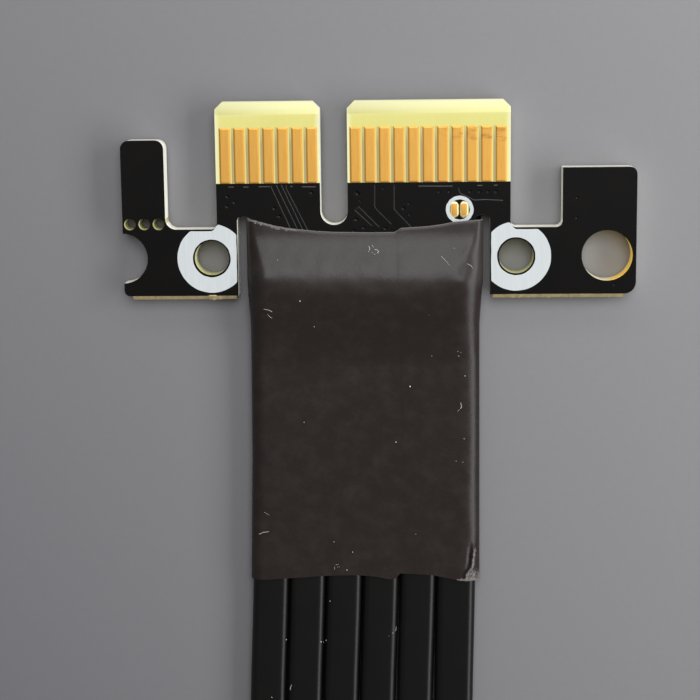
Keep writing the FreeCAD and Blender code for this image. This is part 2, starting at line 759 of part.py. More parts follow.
def flat_tube(sketch, left, right, low, high, turn):
    """A flattened tube's section, each corner turned in two flats that follow its radius."""
    fold = f"{turn} * (1 - sqrt(1 / 2))"
    outline(
        sketch,
        [
            (f"{left} + {turn}", low),
            (f"{left} + {fold}", f"{low} + {fold}"),
            (left, f"{low} + {turn}"),
            (left, f"{high} - {turn}"),
            (f"{left} + {fold}", f"{high} - {fold}"),
            (f"{left} + {turn}", high),
            (f"{right} - {turn}", high),
            (f"{right} - {fold}", f"{high} - {fold}"),
            (right, f"{high} - {turn}"),
            (right, f"{low} + {turn}"),
            (f"{right} - {fold}", f"{low} + {fold}"),
            (f"{right} - {turn}", low),
        ],
    )


def loft_sleeve(body, kind, wall, low):
    """A loft through the stations, at a wall's distance inside the outer skin."""
    sketches = []
    for distance, left, right, ceiling, corner in sleeve_sections():
        station = new_sketch(body, "XZ_Plane", distance)
        high = f"{ceiling} + sleeve_wall - {wall}"
        turn = f"({corner} + sleeve_wall - {wall})"
        flat_tube(station, f"-{left} + {wall}", f"{right} - {wall}", low, high, turn)
        sketches.append(station)
    loft = body.newObject(kind, body.Name + "_loft")
    loft.Profile = sketches[0]
    loft.Sections = sketches[1:]
    loft.Ruled = True
    doc.recompute()


def shrink_sleeve(name, far):
    """Tube shrunk flat over the tongue and the cables, with hollow front and rear edges."""
    body = new_body(name, far)
    loft_sleeve(body, "PartDesign::AdditiveLoft", "0", "-sleeve_flat")
    loft_sleeve(body, "PartDesign::SubtractiveLoft", "sleeve_wall", "sleeve_wall")
    rest = new_sketch(body, "XY_Plane")
    rectangle(
        rest,
        f"-{sleeve_side('-', 'rear_left')} - sleeve_clear",
        "-sleeve_end - sleeve_clear",
        f"{sleeve_side('', 'front_right')} + sleeve_clear",
        "-sleeve_start + sleeve_clear",
    )
    pocket(body, rest)
    half = sleeve_side("-", "front_left")
    ends = new_sketch(body, "XY_Plane", f"{MASK_TOP} + sleeve_bulge + sleeve_wall")
    mouth = f"({half}^2 + sleeve_mouth^2) / (2 * sleeve_mouth)"
    circle(ends, "0", f"{mouth} - sleeve_start - sleeve_mouth", mouth)
    tail = f"({half}^2 + sleeve_tail^2) / (2 * sleeve_tail)"
    circle(ends, "0", f"-({tail}) - sleeve_end + sleeve_tail", tail)
    pocket(body, ends)


# ---- Cables --------------------------------------------------------------------------------


def rounded_path(points):
    """Straight runs joined by tangent arcs, and the least arc radius."""
    points = [FreeCAD.Vector(*point) for point in points]
    edges = []
    radii = []
    start = points[0]
    for before, corner, after in zip(points, points[1:], points[2:]):
        back = before - corner
        ahead = after - corner
        reach = ARC_SHARE * min(back.Length, ahead.Length)
        back.normalize()
        ahead.normalize()
        half = back.getAngle(ahead) / 2
        radius = reach * math.tan(half)
        inward = (back + ahead).normalize() * (radius / math.sin(half) - radius)
        arc_start = corner + back * reach
        arc_end = corner + ahead * reach
        edges.append(Part.LineSegment(start, arc_start).toShape())
        edges.append(Part.Arc(arc_start, corner + inward, arc_end).toShape())
        radii.append(round(radius, 1))
        start = arc_end
    edges.append(Part.LineSegment(start, points[-1]).toShape())
    return Part.Wire(edges), radii


def cable_section(start, width, thick):
    """The flat cable's section, upright at the start of the route, each round side as five flats."""
    edge = thick / 2
    turns = [math.radians(angle) for angle in (-90, -54, -18, 18, 54, 90)]
    bulge = edge * math.cos(turns[2])
    flat = width / 2 - bulge
    right = [(flat + edge * math.cos(turn), edge * math.sin(turn)) for turn in turns]
    left = [(-x, z) for x, z in reversed(right)]
    ring = [start + FreeCAD.Vector(x, 0, z) for x, z in right + left]
    return Part.makePolygon(ring + [ring[0]])


def flat_cable(name, turns):
    jacket_end = number(JACKET_END)
    first_x, _, first_z = turns[0]
    last_x, _, last_z = turns[-1]
    points = [
        (first_x, -jacket_end, first_z),
        *turns,
        (last_x, jacket_end - number("end_spacing"), last_z),
    ]
    path, radii = rounded_path(points)
    start = FreeCAD.Vector(*points[0])
    section = Part.Face(cable_section(start, number("cable_width"), number("cable_thick")))
    cable = doc.addObject("Part::Feature", name)
    cable.Label = name
    cable.Shape = path.makePipe(section)
    place(cable, False, "0")
    share = cable.Shape.Volume / (section.Area * path.Length)
    print(f"{name}: radii {radii}, volume {share:.4f} of section times length")


# ---- Socket board --------------------------------------------------------------------------


def socket_board_outline(tongue_end):
    corner = "socket_board_round"
    return [
        ("-socket_board_half", "-socket_board_back", corner),
        ("-socket_board_half", "socket_board_front", corner),
        ("socket_board_half", "socket_board_front", corner),
        ("socket_board_half", "-socket_board_back", corner),
        ("tongue_half", "-socket_board_back"),
        ("tongue_half", tongue_end),
        ("-tongue_half", tongue_end),
        ("-tongue_half", "-socket_board_back"),
    ]


def socket_board():
    body = new_body("socket_board", True, "sleeve_wall")
    layered_board(
        body,
        socket_board_outline("-ear_depth"),
        socket_board_outline(f"-{BARE_START}"),
        socket_board_outline("-ear_depth"),
    )
    opening = new_sketch(body, "XY_Plane", "board_thick + 2 * mask_thick")
    reach = "(edge_half + pad_window)"
    for side in "-+":
        inner = f"-socket_y {side} (socket_pad_inner - pad_window)"
        outer = f"-socket_y {side} (socket_pad_outer + pad_window)"
        rectangle(opening, f"-{reach}", inner, reach, outer)
    pocket(body, opening, "mask_thick")


def contact_rows():
    """The first contact of each tab, how many follow, and whether they run to the left."""
    return [
        ("-long_tab_first", "long_tab_count", False),
        ("-short_tab_first", "short_tab_count", True),
    ]


def socket_pads():
    body = new_body("socket_pads", True, BOARD_TOP)
    half = "socket_pad_width / 2"
    for first, count, backwards in contact_rows():
        plan = new_sketch(body, "XY_Plane")
        for side in "-+":
            inner = f"-socket_y {side} socket_pad_inner"
            outer = f"-socket_y {side} socket_pad_outer"
            rectangle(plan, f"{first} - {half}", inner, f"{first} + {half}", outer)
        row = pad(body, plan, "pad_thick")
        repeat(body, row, "contact_pitch", count, backwards)


def socket_housing():
    """Moulded housing: stepped walls, a card slot with its key rib, and a cell per contact."""
    body = new_body("socket_housing", True, f"{MASK_TOP} + socket_standoff")
    side = new_sketch(body, "YZ_Plane")
    middle = "-socket_y"
    profile = [
        ("socket_base_half", "0"),
        ("socket_base_half", "socket_foot_top"),
        ("socket_body_half", "socket_slope_top"),
        ("socket_body_half", "socket_height - socket_top_chamfer"),
        ("socket_body_half - socket_top_chamfer", "socket_height"),
    ]
    right = [(f"{middle} + {y}", z) for y, z in profile]
    left = [(f"{middle} - ({y})", z) for y, z in reversed(profile)]
    outline(side, right + left)
    pad(body, side, "socket_length", both_ways=True)
    stands = new_sketch(body, "XY_Plane")
    low = f"{middle} - socket_body_half"
    high = f"{middle} + socket_body_half"
    end = "socket_length / 2"
    rectangle(stands, f"-{end}", low, f"-{end} + socket_stand_length", high)
    rectangle(stands, f"{end} - socket_stand_length", low, end, high)
    pad(body, stands, "socket_standoff", down=True)
    slot = new_sketch(body, "XY_Plane", "socket_height")
    low = f"{middle} - socket_slot_half"
    high = f"{middle} + socket_slot_half"
    key = "key_width / 2 - socket_slot_fit"
    reach = "edge_half + socket_slot_fit"
    rectangle(slot, f"-({reach})", low, f"-key_x - ({key})", high)
    rectangle(slot, f"-key_x + {key}", low, reach, high)
    pocket(body, slot, "socket_slot_depth")
    half = "socket_cell_width / 2"
    for first, count, backwards in contact_rows():
        cells = new_sketch(body, "XY_Plane", "socket_height")
        back = f"{middle} - socket_cell_half"
        front = f"{middle} + socket_cell_half"
        rectangle(cells, f"{first} - {half}", back, f"{first} + {half}", front)
        cell = pocket(body, cells)
        repeat(body, cell, "contact_pitch", count, backwards)


def socket_contacts(name, side):
    """One row of springs: a tail on its pad, a leg in its cell and a bow towards the card."""
    body = new_body(name, True)
    thick = "spring_thick"
    seat = PAD_TOP
    lift = MASK_TOP
    spring = [
        ("tail_reach", seat),
        ("tail_reach", f"{seat} + {thick}"),
        ("spring_back", f"{seat} + {thick}"),
        ("spring_back", f"{lift} + spring_bow_low"),
        (f"spring_touch + {thick}", f"{lift} + spring_bow_high"),
        ("spring_back", f"{lift} + spring_top"),
        (f"spring_back - {thick}", f"{lift} + spring_top"),
        ("spring_touch", f"{lift} + spring_bow_high"),
        (f"spring_back - {thick}", f"{lift} + spring_bow_low"),
        (f"spring_back - {thick}", seat),
    ]
    for first, count, backwards in contact_rows():
        profile = new_sketch(body, "YZ_Plane", first)
        outline(profile, [(f"-socket_y {side} ({y})", z) for y, z in spring])
        row = pad(body, profile, "spring_width", both_ways=True)
        repeat(body, row, "contact_pitch", count, backwards)


# ---- The whole riser -----------------------------------------------------------------------


def build():
    circuit_board()
    contacts()
    test_pads()
    printed_rings()
    socket_board()
    socket_pads()
    socket_housing()
    socket_contacts("socket_contacts_row_a", "-")
    socket_contacts("socket_contacts_row_b", "+")
    for end, far in (("plug", False), ("socket", True)):
        wire_pads(f"{end}_wire_pads", far)
        soldered_ends(f"{end}_soldered_wire_ends", far)
        cable_cores(f"{end}_cable_cores", far)
        drain_wires(f"{end}_drain_wires", far)
        shrink_sleeve(f"{end}_shrink_sleeve", far)
    for name, points in ROUTES.items():
        flat_cable(name, points)


def write():
    doc.recompute()
    for item in doc.Objects:
        if {"Invalid", "Error"} & set(item.State):
            raise RuntimeError(f"{item.Label} failed: {item.State}")
    for item in parts:
        if item.Shape.isNull() or not item.Shape.isValid():
            raise RuntimeError(f"{item.Label} has no valid shape")
        item.Shape.exportStep(f"parts/{item.Label}.step")
        print(f"{item.Label}: {len(item.Shape.Solids)} solids, {item.Shape.Volume:.3f} mm3")


build()
write()
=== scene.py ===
import json
import math
from functools import partial

import bmesh
import bpy
from mathutils import Euler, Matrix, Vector, noise


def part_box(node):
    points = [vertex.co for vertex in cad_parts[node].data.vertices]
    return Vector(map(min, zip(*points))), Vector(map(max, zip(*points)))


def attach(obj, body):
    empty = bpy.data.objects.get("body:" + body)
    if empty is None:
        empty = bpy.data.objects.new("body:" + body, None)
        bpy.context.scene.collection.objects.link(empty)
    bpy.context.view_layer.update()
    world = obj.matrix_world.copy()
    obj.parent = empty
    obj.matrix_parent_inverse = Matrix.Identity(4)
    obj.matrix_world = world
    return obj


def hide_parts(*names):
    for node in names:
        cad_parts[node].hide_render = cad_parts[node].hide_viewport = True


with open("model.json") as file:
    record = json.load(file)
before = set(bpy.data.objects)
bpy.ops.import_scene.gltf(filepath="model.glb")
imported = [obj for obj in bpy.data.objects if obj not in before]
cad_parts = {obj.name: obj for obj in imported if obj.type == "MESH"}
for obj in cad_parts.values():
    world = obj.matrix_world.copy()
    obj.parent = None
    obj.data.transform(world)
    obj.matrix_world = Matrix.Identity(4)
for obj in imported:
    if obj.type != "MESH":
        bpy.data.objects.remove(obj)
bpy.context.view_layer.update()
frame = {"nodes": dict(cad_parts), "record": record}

bl_info = {
    "name": "Flexible Riser Card",
    "version": (1, 0, 0),
    "blender": (4, 5, 0),
    "location": "3D View > Sidebar > Riser Card",
    "description": "Dresses the solids of a flexible PCI Express x1 riser card and sets its stage",
    "category": "Add Mesh",
}

# The model is drawn in two end frames, in millimetres. At the plug end X runs along the card edge
# from its middle and Y falls from 0 at the card edge towards the cables. The socket end is the
# same frame turned by half a turn, with its datum edge 2.95 mm before the middle of the card slot.
MM = 0.001
MOUNTS = {mount["name"]: Vector(mount["pos_m"]) for mount in frame["record"]["mounts"]}
PLUG = MOUNTS["card_edge"]
SLOT = MOUNTS["card_socket"]
SLOT_TO_DATUM = 2.95
# the middle of the card edge in the millimetres that the materials work in
EDGE_X, EDGE_Y = PLUG.x / MM, PLUG.y / MM

# Heights in millimetres above the floor; the plating's is above the laminate
MASK_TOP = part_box("circuit_board")[1].z / MM
LAMINATE_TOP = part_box("contacts_front_long_tab")[0].z / MM
LAMINATE_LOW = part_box("contacts_back_long_tab")[1].z / MM
TUBE_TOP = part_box("plug_shrink_sleeve")[1].z / MM
PLATING = 0.045

# The plug board: its back, the mask's edge on the tabs, its holes as X, Y and the reach of their
# walls, and each tab with its run of contacts, from left to right
BOARD_BACK = -13.41
MASK_EDGE = -5.59
POST_HOLE = (16.8, -10.75, 1.8)
SCREW_HOLE = (10.55, -10.75, 1.3)
PERFORATIONS = (-13.7, -8.37, 0.45)
TABS = ((-10.15, -2.95, -9.83, -3.17), (-1.05, 10.15, -0.83, 9.83))
CONTACT_TOP, CONTACT_END, CONTACT_LENGTH = -1.78, -5.62, 3.86
# corners anticlockwise from the lower left, rounder towards the cables
CONTACT_CORNERS = (0.13, 0.13, 0.05, 0.05)
CONTACT_ROWS = (("long_tab", -0.5, 11, 1), ("short_tab", -3.5, 7, -1))
TEST_PADS = (6.62 - 0.33, 6.62 + 0.33)
TEST_PAD_Y = -7.49
TEST_PAD_SIZE, TEST_PAD_CORNER = (0.54, 1.03), 0.2

# Cable routes in the plug end's frame: where each cable lies in both tubes, and where it swings to
# nearer the plug and nearer the socket, and the heights of its middle in the tubes and between
JACKET_END = -16.0
SLEEVE_END = -34.05
IN_TUBE, ON_FLOOR = 0.885, 0.68
ROUTES = {
    node: [
        (lane, JACKET_END, IN_TUBE),
        (lane, -28.0, IN_TUBE),
        (near, -52.0, ON_FLOOR),
        (far, -98.0, ON_FLOOR),
        (lane, -122.0, IN_TUBE),
        (lane, -134.0, IN_TUBE),
    ]
    for node, lane, near, far in (
        ("flat_cable_1", -6.555, -7.785, -6.95),
        ("flat_cable_2", -3.945, -5.095, -4.25),
        ("flat_cable_3", -1.335, -2.425, -1.55),
        ("flat_cable_4", 1.275, 0.265, 1.15),
        ("flat_cable_5", 3.885, 3.03, 3.9),
        ("flat_cable_6", 6.495, 5.95, 6.7),
    )
}
CABLE_PITCH = 2.61
# the outermost cable lies a little flatter, and so is wider
SPREAD = {"flat_cable_6": 1.07}

# Edges of the shrunk tube seen from above, as X and Y in an end's frame
PLUG_FRONT_EDGE = (
    (-8.15, -7.97), (-8.0, -7.99), (-7.2, -8.22), (-6.21, -8.49), (-5.3, -8.67), (-4.41, -8.78),
    (-3.2, -8.9), (-2.07, -8.97), (0.35, -9.02), (2.14, -9.01), (2.36, -8.9), (2.59, -8.73),
    (4.48, -8.62), (5.4, -8.5), (6.26, -8.33), (7.3, -8.24), (8.3, -8.2),
)
PLUG_REAR_EDGE = (
    (-8.38, -34.0), (-7.3, -33.97), (-5.88, -33.88), (-4.5, -33.79), (-3.15, -33.69),
    (-1.8, -33.64), (-0.53, -33.63), (0.6, -33.72), (1.65, -33.93), (2.05, -33.86),
    (2.37, -33.5), (3.4, -33.53), (4.65, -33.62), (5.7, -33.82), (6.68, -34.03), (8.05, -34.1),
)
SOCKET_FRONT_EDGE = (
    (-8.15, -8.02), (-6.0, -8.5), (-3.0, -8.88), (0.0, -9.0), (3.0, -8.9), (6.0, -8.55),
    (8.3, -8.05),
)
SOCKET_REAR_EDGE = (
    (-8.38, -34.02), (-5.5, -33.78), (-2.4, -33.6), (0.5, -33.58), (3.0, -33.66), (5.8, -33.82),
    (8.05, -34.02),
)

# Tented vias on the plug board: X, Y and size against the usual one
VIAS = (
    (-9.40, -6.51, 1.0), (-8.93, -6.92, 0.9), (-9.42, -7.20, 1.0), (-3.58, -6.28, 1.1),
    (-6.16, -7.36, 1.0), (-5.82, -7.92, 1.05), (-0.40, -6.37, 1.25), (-0.20, -6.86, 0.7),
    (-0.41, -7.34, 0.8), (-0.49, -8.17, 1.1), (-0.67, -8.93, 0.9), (0.02, -8.73, 0.9),
    (1.39, -6.04, 0.7), (1.79, -8.46, 0.75), (1.51, -8.81, 1.0), (3.18, -7.09, 0.8),
    (2.76, -7.43, 1.0), (3.21, -7.85, 0.8), (5.24, -6.28, 0.9), (5.93, -6.28, 0.9),
    (14.70, -6.77, 0.8), (14.68, -8.14, 0.8), (17.30, -12.81, 0.7),
    (7.37, -6.30, 0.85), (8.02, -6.30, 0.95), (8.61, -6.31, 0.95), (9.16, -6.31, 0.95),
)

# Tracks under the solder mask: width, height above the mask, and corners
TRACKS = (
    (0.12, 0.016, ((-6.34, -5.75), (-6.34, -5.89), (-5.0, -8.9))),
    (0.12, 0.016, ((-6.01, -5.72), (-4.5, -8.95))),
    (0.12, 0.016, ((-5.65, -5.72), (-4.15, -8.98))),
    (0.12, 0.016, ((-5.31, -5.72), (-5.31, -5.96), (-3.8, -9.0))),
    (0.11, 0.018, ((0.8, -5.75), (0.78, -7.32), (1.95, -8.5))),
    (0.11, 0.018, ((2.13, -5.75), (2.12, -7.46), (3.3, -8.7))),
    (0.11, 0.018, ((-0.35, -7.23), (1.1, -8.7))),
    (0.11, 0.018, ((-0.6, -7.48), (0.6, -8.6))),
    (0.12, 0.025, (
        (6.55, -6.02), (6.62, -6.35), (7.13, -6.62), (7.67, -6.88), (8.42, -6.84), (9.62, -6.91),
    )),
    (0.16, 0.045, ((-9.29, -5.85), (-8.92, -5.85))),
    (0.16, 0.045, ((-8.26, -5.86), (-7.9, -5.86))),
    (0.16, 0.045, ((-7.2, -5.84), (-6.41, -5.85))),
    (0.16, 0.045, ((-5.01, -5.84), (-4.85, -5.84))),
    (0.16, 0.045, ((-4.22, -5.87), (-3.23, -5.88))),
    (0.16, 0.045, ((3.84, -5.89), (6.17, -5.91))),
    (0.16, 0.045, ((7.87, -5.88), (8.21, -5.88))),
    (0.16, 0.045, ((9.0, -5.87), (9.25, -5.87))),
)

# Printed rings round the screw holes: middle, and the limits set by the slot and the board's edge
SCREW_RINGS = ((-10.57, -10.78, -8.83), (10.55, -10.76, 8.83))
RING_TOP = -8.88
TEST_RING = (6.66, -7.5)
# inner and outer radius of each kind
SCREW_RING_REACH, TEST_RING_REACH = (1.32, 2.4), (0.7, 0.95)

# Dust on the plug end's tube and cables: X, Y and size in millimetres
SPECKS = (
    (-5.93, -10.84, 0.05), (-4.4, -13.7, 0.09), (3.16, -19.89, 0.1), (7.01, -19.16, 0.07),
    (4.71, -17.72, 0.04), (-3.48, -15.55, 0.05), (-4.32, -22.45, 0.05), (2.15, -23.88, 0.08),
    (6.94, -23.67, 0.05), (6.37, -25.26, 0.04), (6.86, -25.33, 0.04), (-2.32, -31.17, 0.06),
    (-1.01, -31.91, 0.06), (-1.42, -33.24, 0.07), (3.52, -30.58, 0.04), (6.26, -10.13, 0.04),
    (0.36, -10.3, 0.05), (0.62, -9.9, 0.05), (0.98, -10.4, 0.06), (0.8, -10.5, 0.05),
    (-2.69, -35.67, 0.07), (-3.39, -38.75, 0.09), (-3.02, -38.68, 0.09), (-5.92, -38.61, 0.08),
    (-7.02, -42.94, 0.07), (-3.22, -38.84, 0.05), (-6.2, -46.3, 0.07), (2.4, -51.7, 0.08),
    (5.6, -60.2, 0.06), (-2.8, -73.5, 0.07), (4.1, -84.9, 0.06), (-5.1, -95.2, 0.08),
    (0.9, -104.4, 0.06),
)

# Lint and scratches on the same pieces: width in millimetres and points as X and Y
FIBRES = (
    (0.022, ((5.36, -10.65), (5.62, -10.9), (5.97, -11.3))),
    (0.028, ((-6.95, -14.25), (-6.6, -14.33), (-6.36, -14.45))),
    (0.02, ((-6.7, -14.62), (-6.5, -14.86), (-6.38, -14.9))),
    (0.035, ((-7.67, -30.62), (-7.4, -30.47), (-6.95, -30.4))),
    (0.025, ((-2.32, -33.2), (-2.3, -33.0))),
    (0.025, ((-2.22, -32.86), (-2.02, -32.8))),
    (0.022, ((-2.12, -33.05), (-1.95, -32.98))),
    (0.03, ((6.7, -21.05), (6.78, -21.35), (6.68, -21.5))),
    (0.022, ((6.5, -21.7), (6.62, -21.55))),
    (0.02, ((6.45, -17.45), (6.56, -17.36))),
    (0.02, ((6.68, -17.42), (6.76, -17.52))),
    (0.02, ((6.5, -17.7), (6.64, -17.76))),
    (0.028, ((0.36, -9.95), (0.5, -10.1), (0.42, -10.22))),
    (0.026, ((0.62, -9.88), (0.72, -10.05))),
    (0.03, ((0.78, -10.18), (1.0, -10.2), (1.06, -10.38))),
    (0.022, ((0.56, -10.32), (0.7, -10.45))),
    (0.02, ((7.14, -11.18), (7.41, -11.31), (7.55, -11.51))),
    (0.02, ((-7.28, -28.96), (-6.9, -29.2))),
    (0.03, ((1.5, -38.25), (1.8, -38.05), (2.02, -37.9), (2.06, -37.6))),
    (0.04, ((-5.68, -42.42), (-5.67, -42.25), (-5.56, -42.0))),
    (0.025, ((-3.9, -66.2), (-3.6, -66.9), (-3.75, -67.6))),
)

# Both tubes: sides as Y and X, heights of the top over the board, the wires and the cables, and
# the stretches, away from the card edge, over which it rises to the wires and falls past them
TUBE_LEFT = ((-34.05, -8.36), (-25.0, -8.1), (-15.8, -8.0), (-13.2, -8.14), (-8.0, -8.15))
TUBE_RIGHT = ((-34.05, 8.05), (-15.8, 8.04), (-13.4, 8.2), (-12.9, 8.28), (-8.0, 8.3))
OVER_BOARD, OVER_WIRES, OVER_CABLES = MASK_TOP + 0.17, TUBE_TOP - 0.16, 1.75
TUBE_RISE, TUBE_FALL = (8.9, 12.5), (12.3, 18.5)
TUBE_LOW_CORNER = 0.45
# where the front mouth lies on the whole
TUBE_MOUTH = -8.6
PLUG_TUBE_SEED, SOCKET_TUBE_SEED = 2.0, 9.0

# Soft dents and swellings at the plug tube's corners: height, X, Y, and reach along X and Y
DENTS = (
    (0.05, 7.3, -10.4, 0.5, 0.6), (-0.05, 6.9, -11.5, 0.35, 0.4), (0.07, 7.0, -12.4, 0.55, 0.35),
    (0.05, -6.9, -12.0, 0.7, 0.5),
)

# Height of the covered tracks' and fibres' section against its width
STRIP_HEIGHT = 0.6


def plug(x, y, z=0.0):
    """A point of the plug end's frame, in the row frame."""
    return Vector((PLUG.x + x * MM, PLUG.y + y * MM, z * MM))


def socket(x, y, z=0.0):
    """A point of the socket end's frame, in the row frame."""
    return Vector((SLOT.x - x * MM, SLOT.y - (SLOT_TO_DATUM + y) * MM, z * MM))


def srgb(code):
    """A written colour as the linear colour that Blender works in."""
    channels = [int(code[i : i + 2], 16) / 255 for i in (1, 3, 5)]
    return (*[c / 12.92 if c <= 0.04045 else ((c + 0.055) / 1.055) ** 2.4 for c in channels], 1.0)


# ---- Sizes and colours that a user would change ---------------------------------------------


def length(name, description, default):
    return bpy.props.FloatProperty(
        name=name, description=description, default=default, precision=6, unit="LENGTH",
    )


def colour(name, description, code):
    return bpy.props.FloatVectorProperty(
        name=name, description=description, default=srgb(code), size=4, subtype="COLOR",
        min=0.0, max=1.0,
    )


class RISER_PG_sizes(bpy.types.PropertyGroup):
    contact_width: length("Contact Width", "Foot of one card edge contact", 0.00077)
    contact_pitch: length("Contact Pitch", "Between the middles of two contacts", 0.001)
    contact_shoulder: length(
        "Contact Shoulder", "Run of a contact's rounded etched flank", 0.000125,
    )
    via_radius: length("Via Radius", "Rim of the dimple that the mask leaves in a via", 0.00017)
    track_relief: bpy.props.FloatProperty(
        name="Track Relief", description="Share of their listed height that the tracks stand out",
        default=1.0, min=0.0, max=3.0, subtype="FACTOR",
    )
    cable_width: length("Cable Width", "Flat cable over its jacket", 0.00262)
    cable_thickness: length("Cable Thickness", "Flat cable over its jacket", 0.00135)
    cable_edge: length("Cable Edge", "Radius of a flat cable's round sides", 0.0006)
    tube_wall: length("Tube Wall", "Wall of the shrunk tube", 0.00015)


class RISER_PG_colours(bpy.types.PropertyGroup):
    mask: colour("Solder Mask", "Ink over the boards", "#090808")
    laminate: colour("Laminate", "Bare glass epoxy of the tabs", "#dfd985")
    gold: colour("Gold", "Plating of the contacts", "#e3b055")
    screen_print: colour("Screen Print", "Printed rings", "#d3d8d9")
    tube: colour("Shrunk Tube", "Tube over the joints", "#251f1d")
    jacket: colour("Cable Jacket", "Flat cables", "#070707")
    plastic: colour("Socket Plastic", "Moulded housing", "#101010")
    floor: colour("Floor", "Paper that the card lies on", "#949496")


def colours():
    return bpy.context.scene.riser_colours


def sizes():
    return bpy.context.scene.riser_sizes


# ---- Materials ------------------------------------------------------------------------------


def add(tree, kind, links=None, **settings):
    """Adds a node with its settings. links maps an input to a value, to a written colour, to an
    output socket, or to a node, which stands for its first output in use."""
    made = tree.nodes.new(kind)
    for name, value in settings.items():
        setattr(made, name, value)
    for key, value in (links or {}).items():
        if isinstance(value, bpy.types.Node):
            value = next(output for output in value.outputs if output.enabled)
        if isinstance(value, bpy.types.NodeSocket):
            tree.links.new(value, made.inputs[key])
        else:
            written = isinstance(value, str) and value.startswith("#")
            made.inputs[key].default_value = srgb(value) if written else value
    return made


def use(describe):
    """The material that a function describes, made once. The function gets add() for the
    material's tree and the piece's Object coordinates in millimetres, and gives the shader's
    inputs."""
    name = describe.__name__
    if name in bpy.data.materials:
        return bpy.data.materials[name]
    made = bpy.data.materials.new(name)
    made.use_nodes = True
    made.node_tree.nodes.clear()
    new = partial(add, made.node_tree)
    place = new("ShaderNodeTexCoord").outputs["Object"]
    mm = new("ShaderNodeMapping", {"Vector": place, "Scale": (1000,) * 3})
    shader = new("ShaderNodeBsdfPrincipled", describe(new, mm))
    new("ShaderNodeOutputMaterial", {"Surface": shader})
    return made


def surface(new, tint, tones, roughness, relief=None, **rest):
    """A shader's inputs: two tones mixed by a pattern, a roughness or the range that a pattern
    takes it through, a pattern's relief with its strength and depth, and the rest as they are."""
    given = {
        "Base Color": new("ShaderNodeMix", {
            "Factor": tint, 6: tones[0], 7: tones[1],
        }, data_type="RGBA"),
        "Roughness": roughness,
    }
    if isinstance(roughness, tuple):
        pattern, low, high = roughness
        given["Roughness"] = new("ShaderNodeMapRange", {
            "Value": pattern, "To Min": low, "To Max": high,
        })
    if relief:
        pattern, strength, depth = relief
        given["Normal"] = new("ShaderNodeBump", {
            "Height": pattern, "Strength": strength, "Distance": depth * MM,
        })
    given.update({name.replace("_", " "): value for name, value in rest.items()})
    return given


def solder_mask_ink(new, mm):
    """Black liquid solder mask, cured: satin, a little uneven where it flowed round the copper."""
    flow = new("ShaderNodeTexNoise", {"Vector": mm, "Scale": 0.45, "Detail": 3.0})
    grain = new("ShaderNodeTexNoise", {"Vector": mm, "Scale": 9.0, "Detail": 3.0})
    return surface(
        new, flow, (colours().mask, "#100e0d"), (grain, 0.28, 0.42), (grain, 0.25, 0.02),
        IOR=1.5, Specular_IOR_Level=0.1,
    )


def cupped_mask_ink(new, mm):
    """Solder mask drawn into a via: thicker and glossier than on the flat, so its cup glints; a
    little paler than the flat ink as a painted highlight.
    """
    flow = new("ShaderNodeTexNoise", {"Vector": mm, "Scale": 3.0, "Detail": 2.0})
    return surface(new, flow, ("#0d0c0b", "#171514"), (flow, 0.16, 0.24), IOR=1.5)


def mask_ink_over_copper(new, mm):
    """Solder mask stretched thin over a track: a shade paler and glossier than on the laminate."""
    flow = new("ShaderNodeTexNoise", {"Vector": mm, "Scale": 0.9, "Detail": 3.0})
    return surface(
        new, flow, ("#171514", "#211f1d"), (flow, 0.2, 0.3), IOR=1.5, Specular_IOR_Level=0.35,
    )


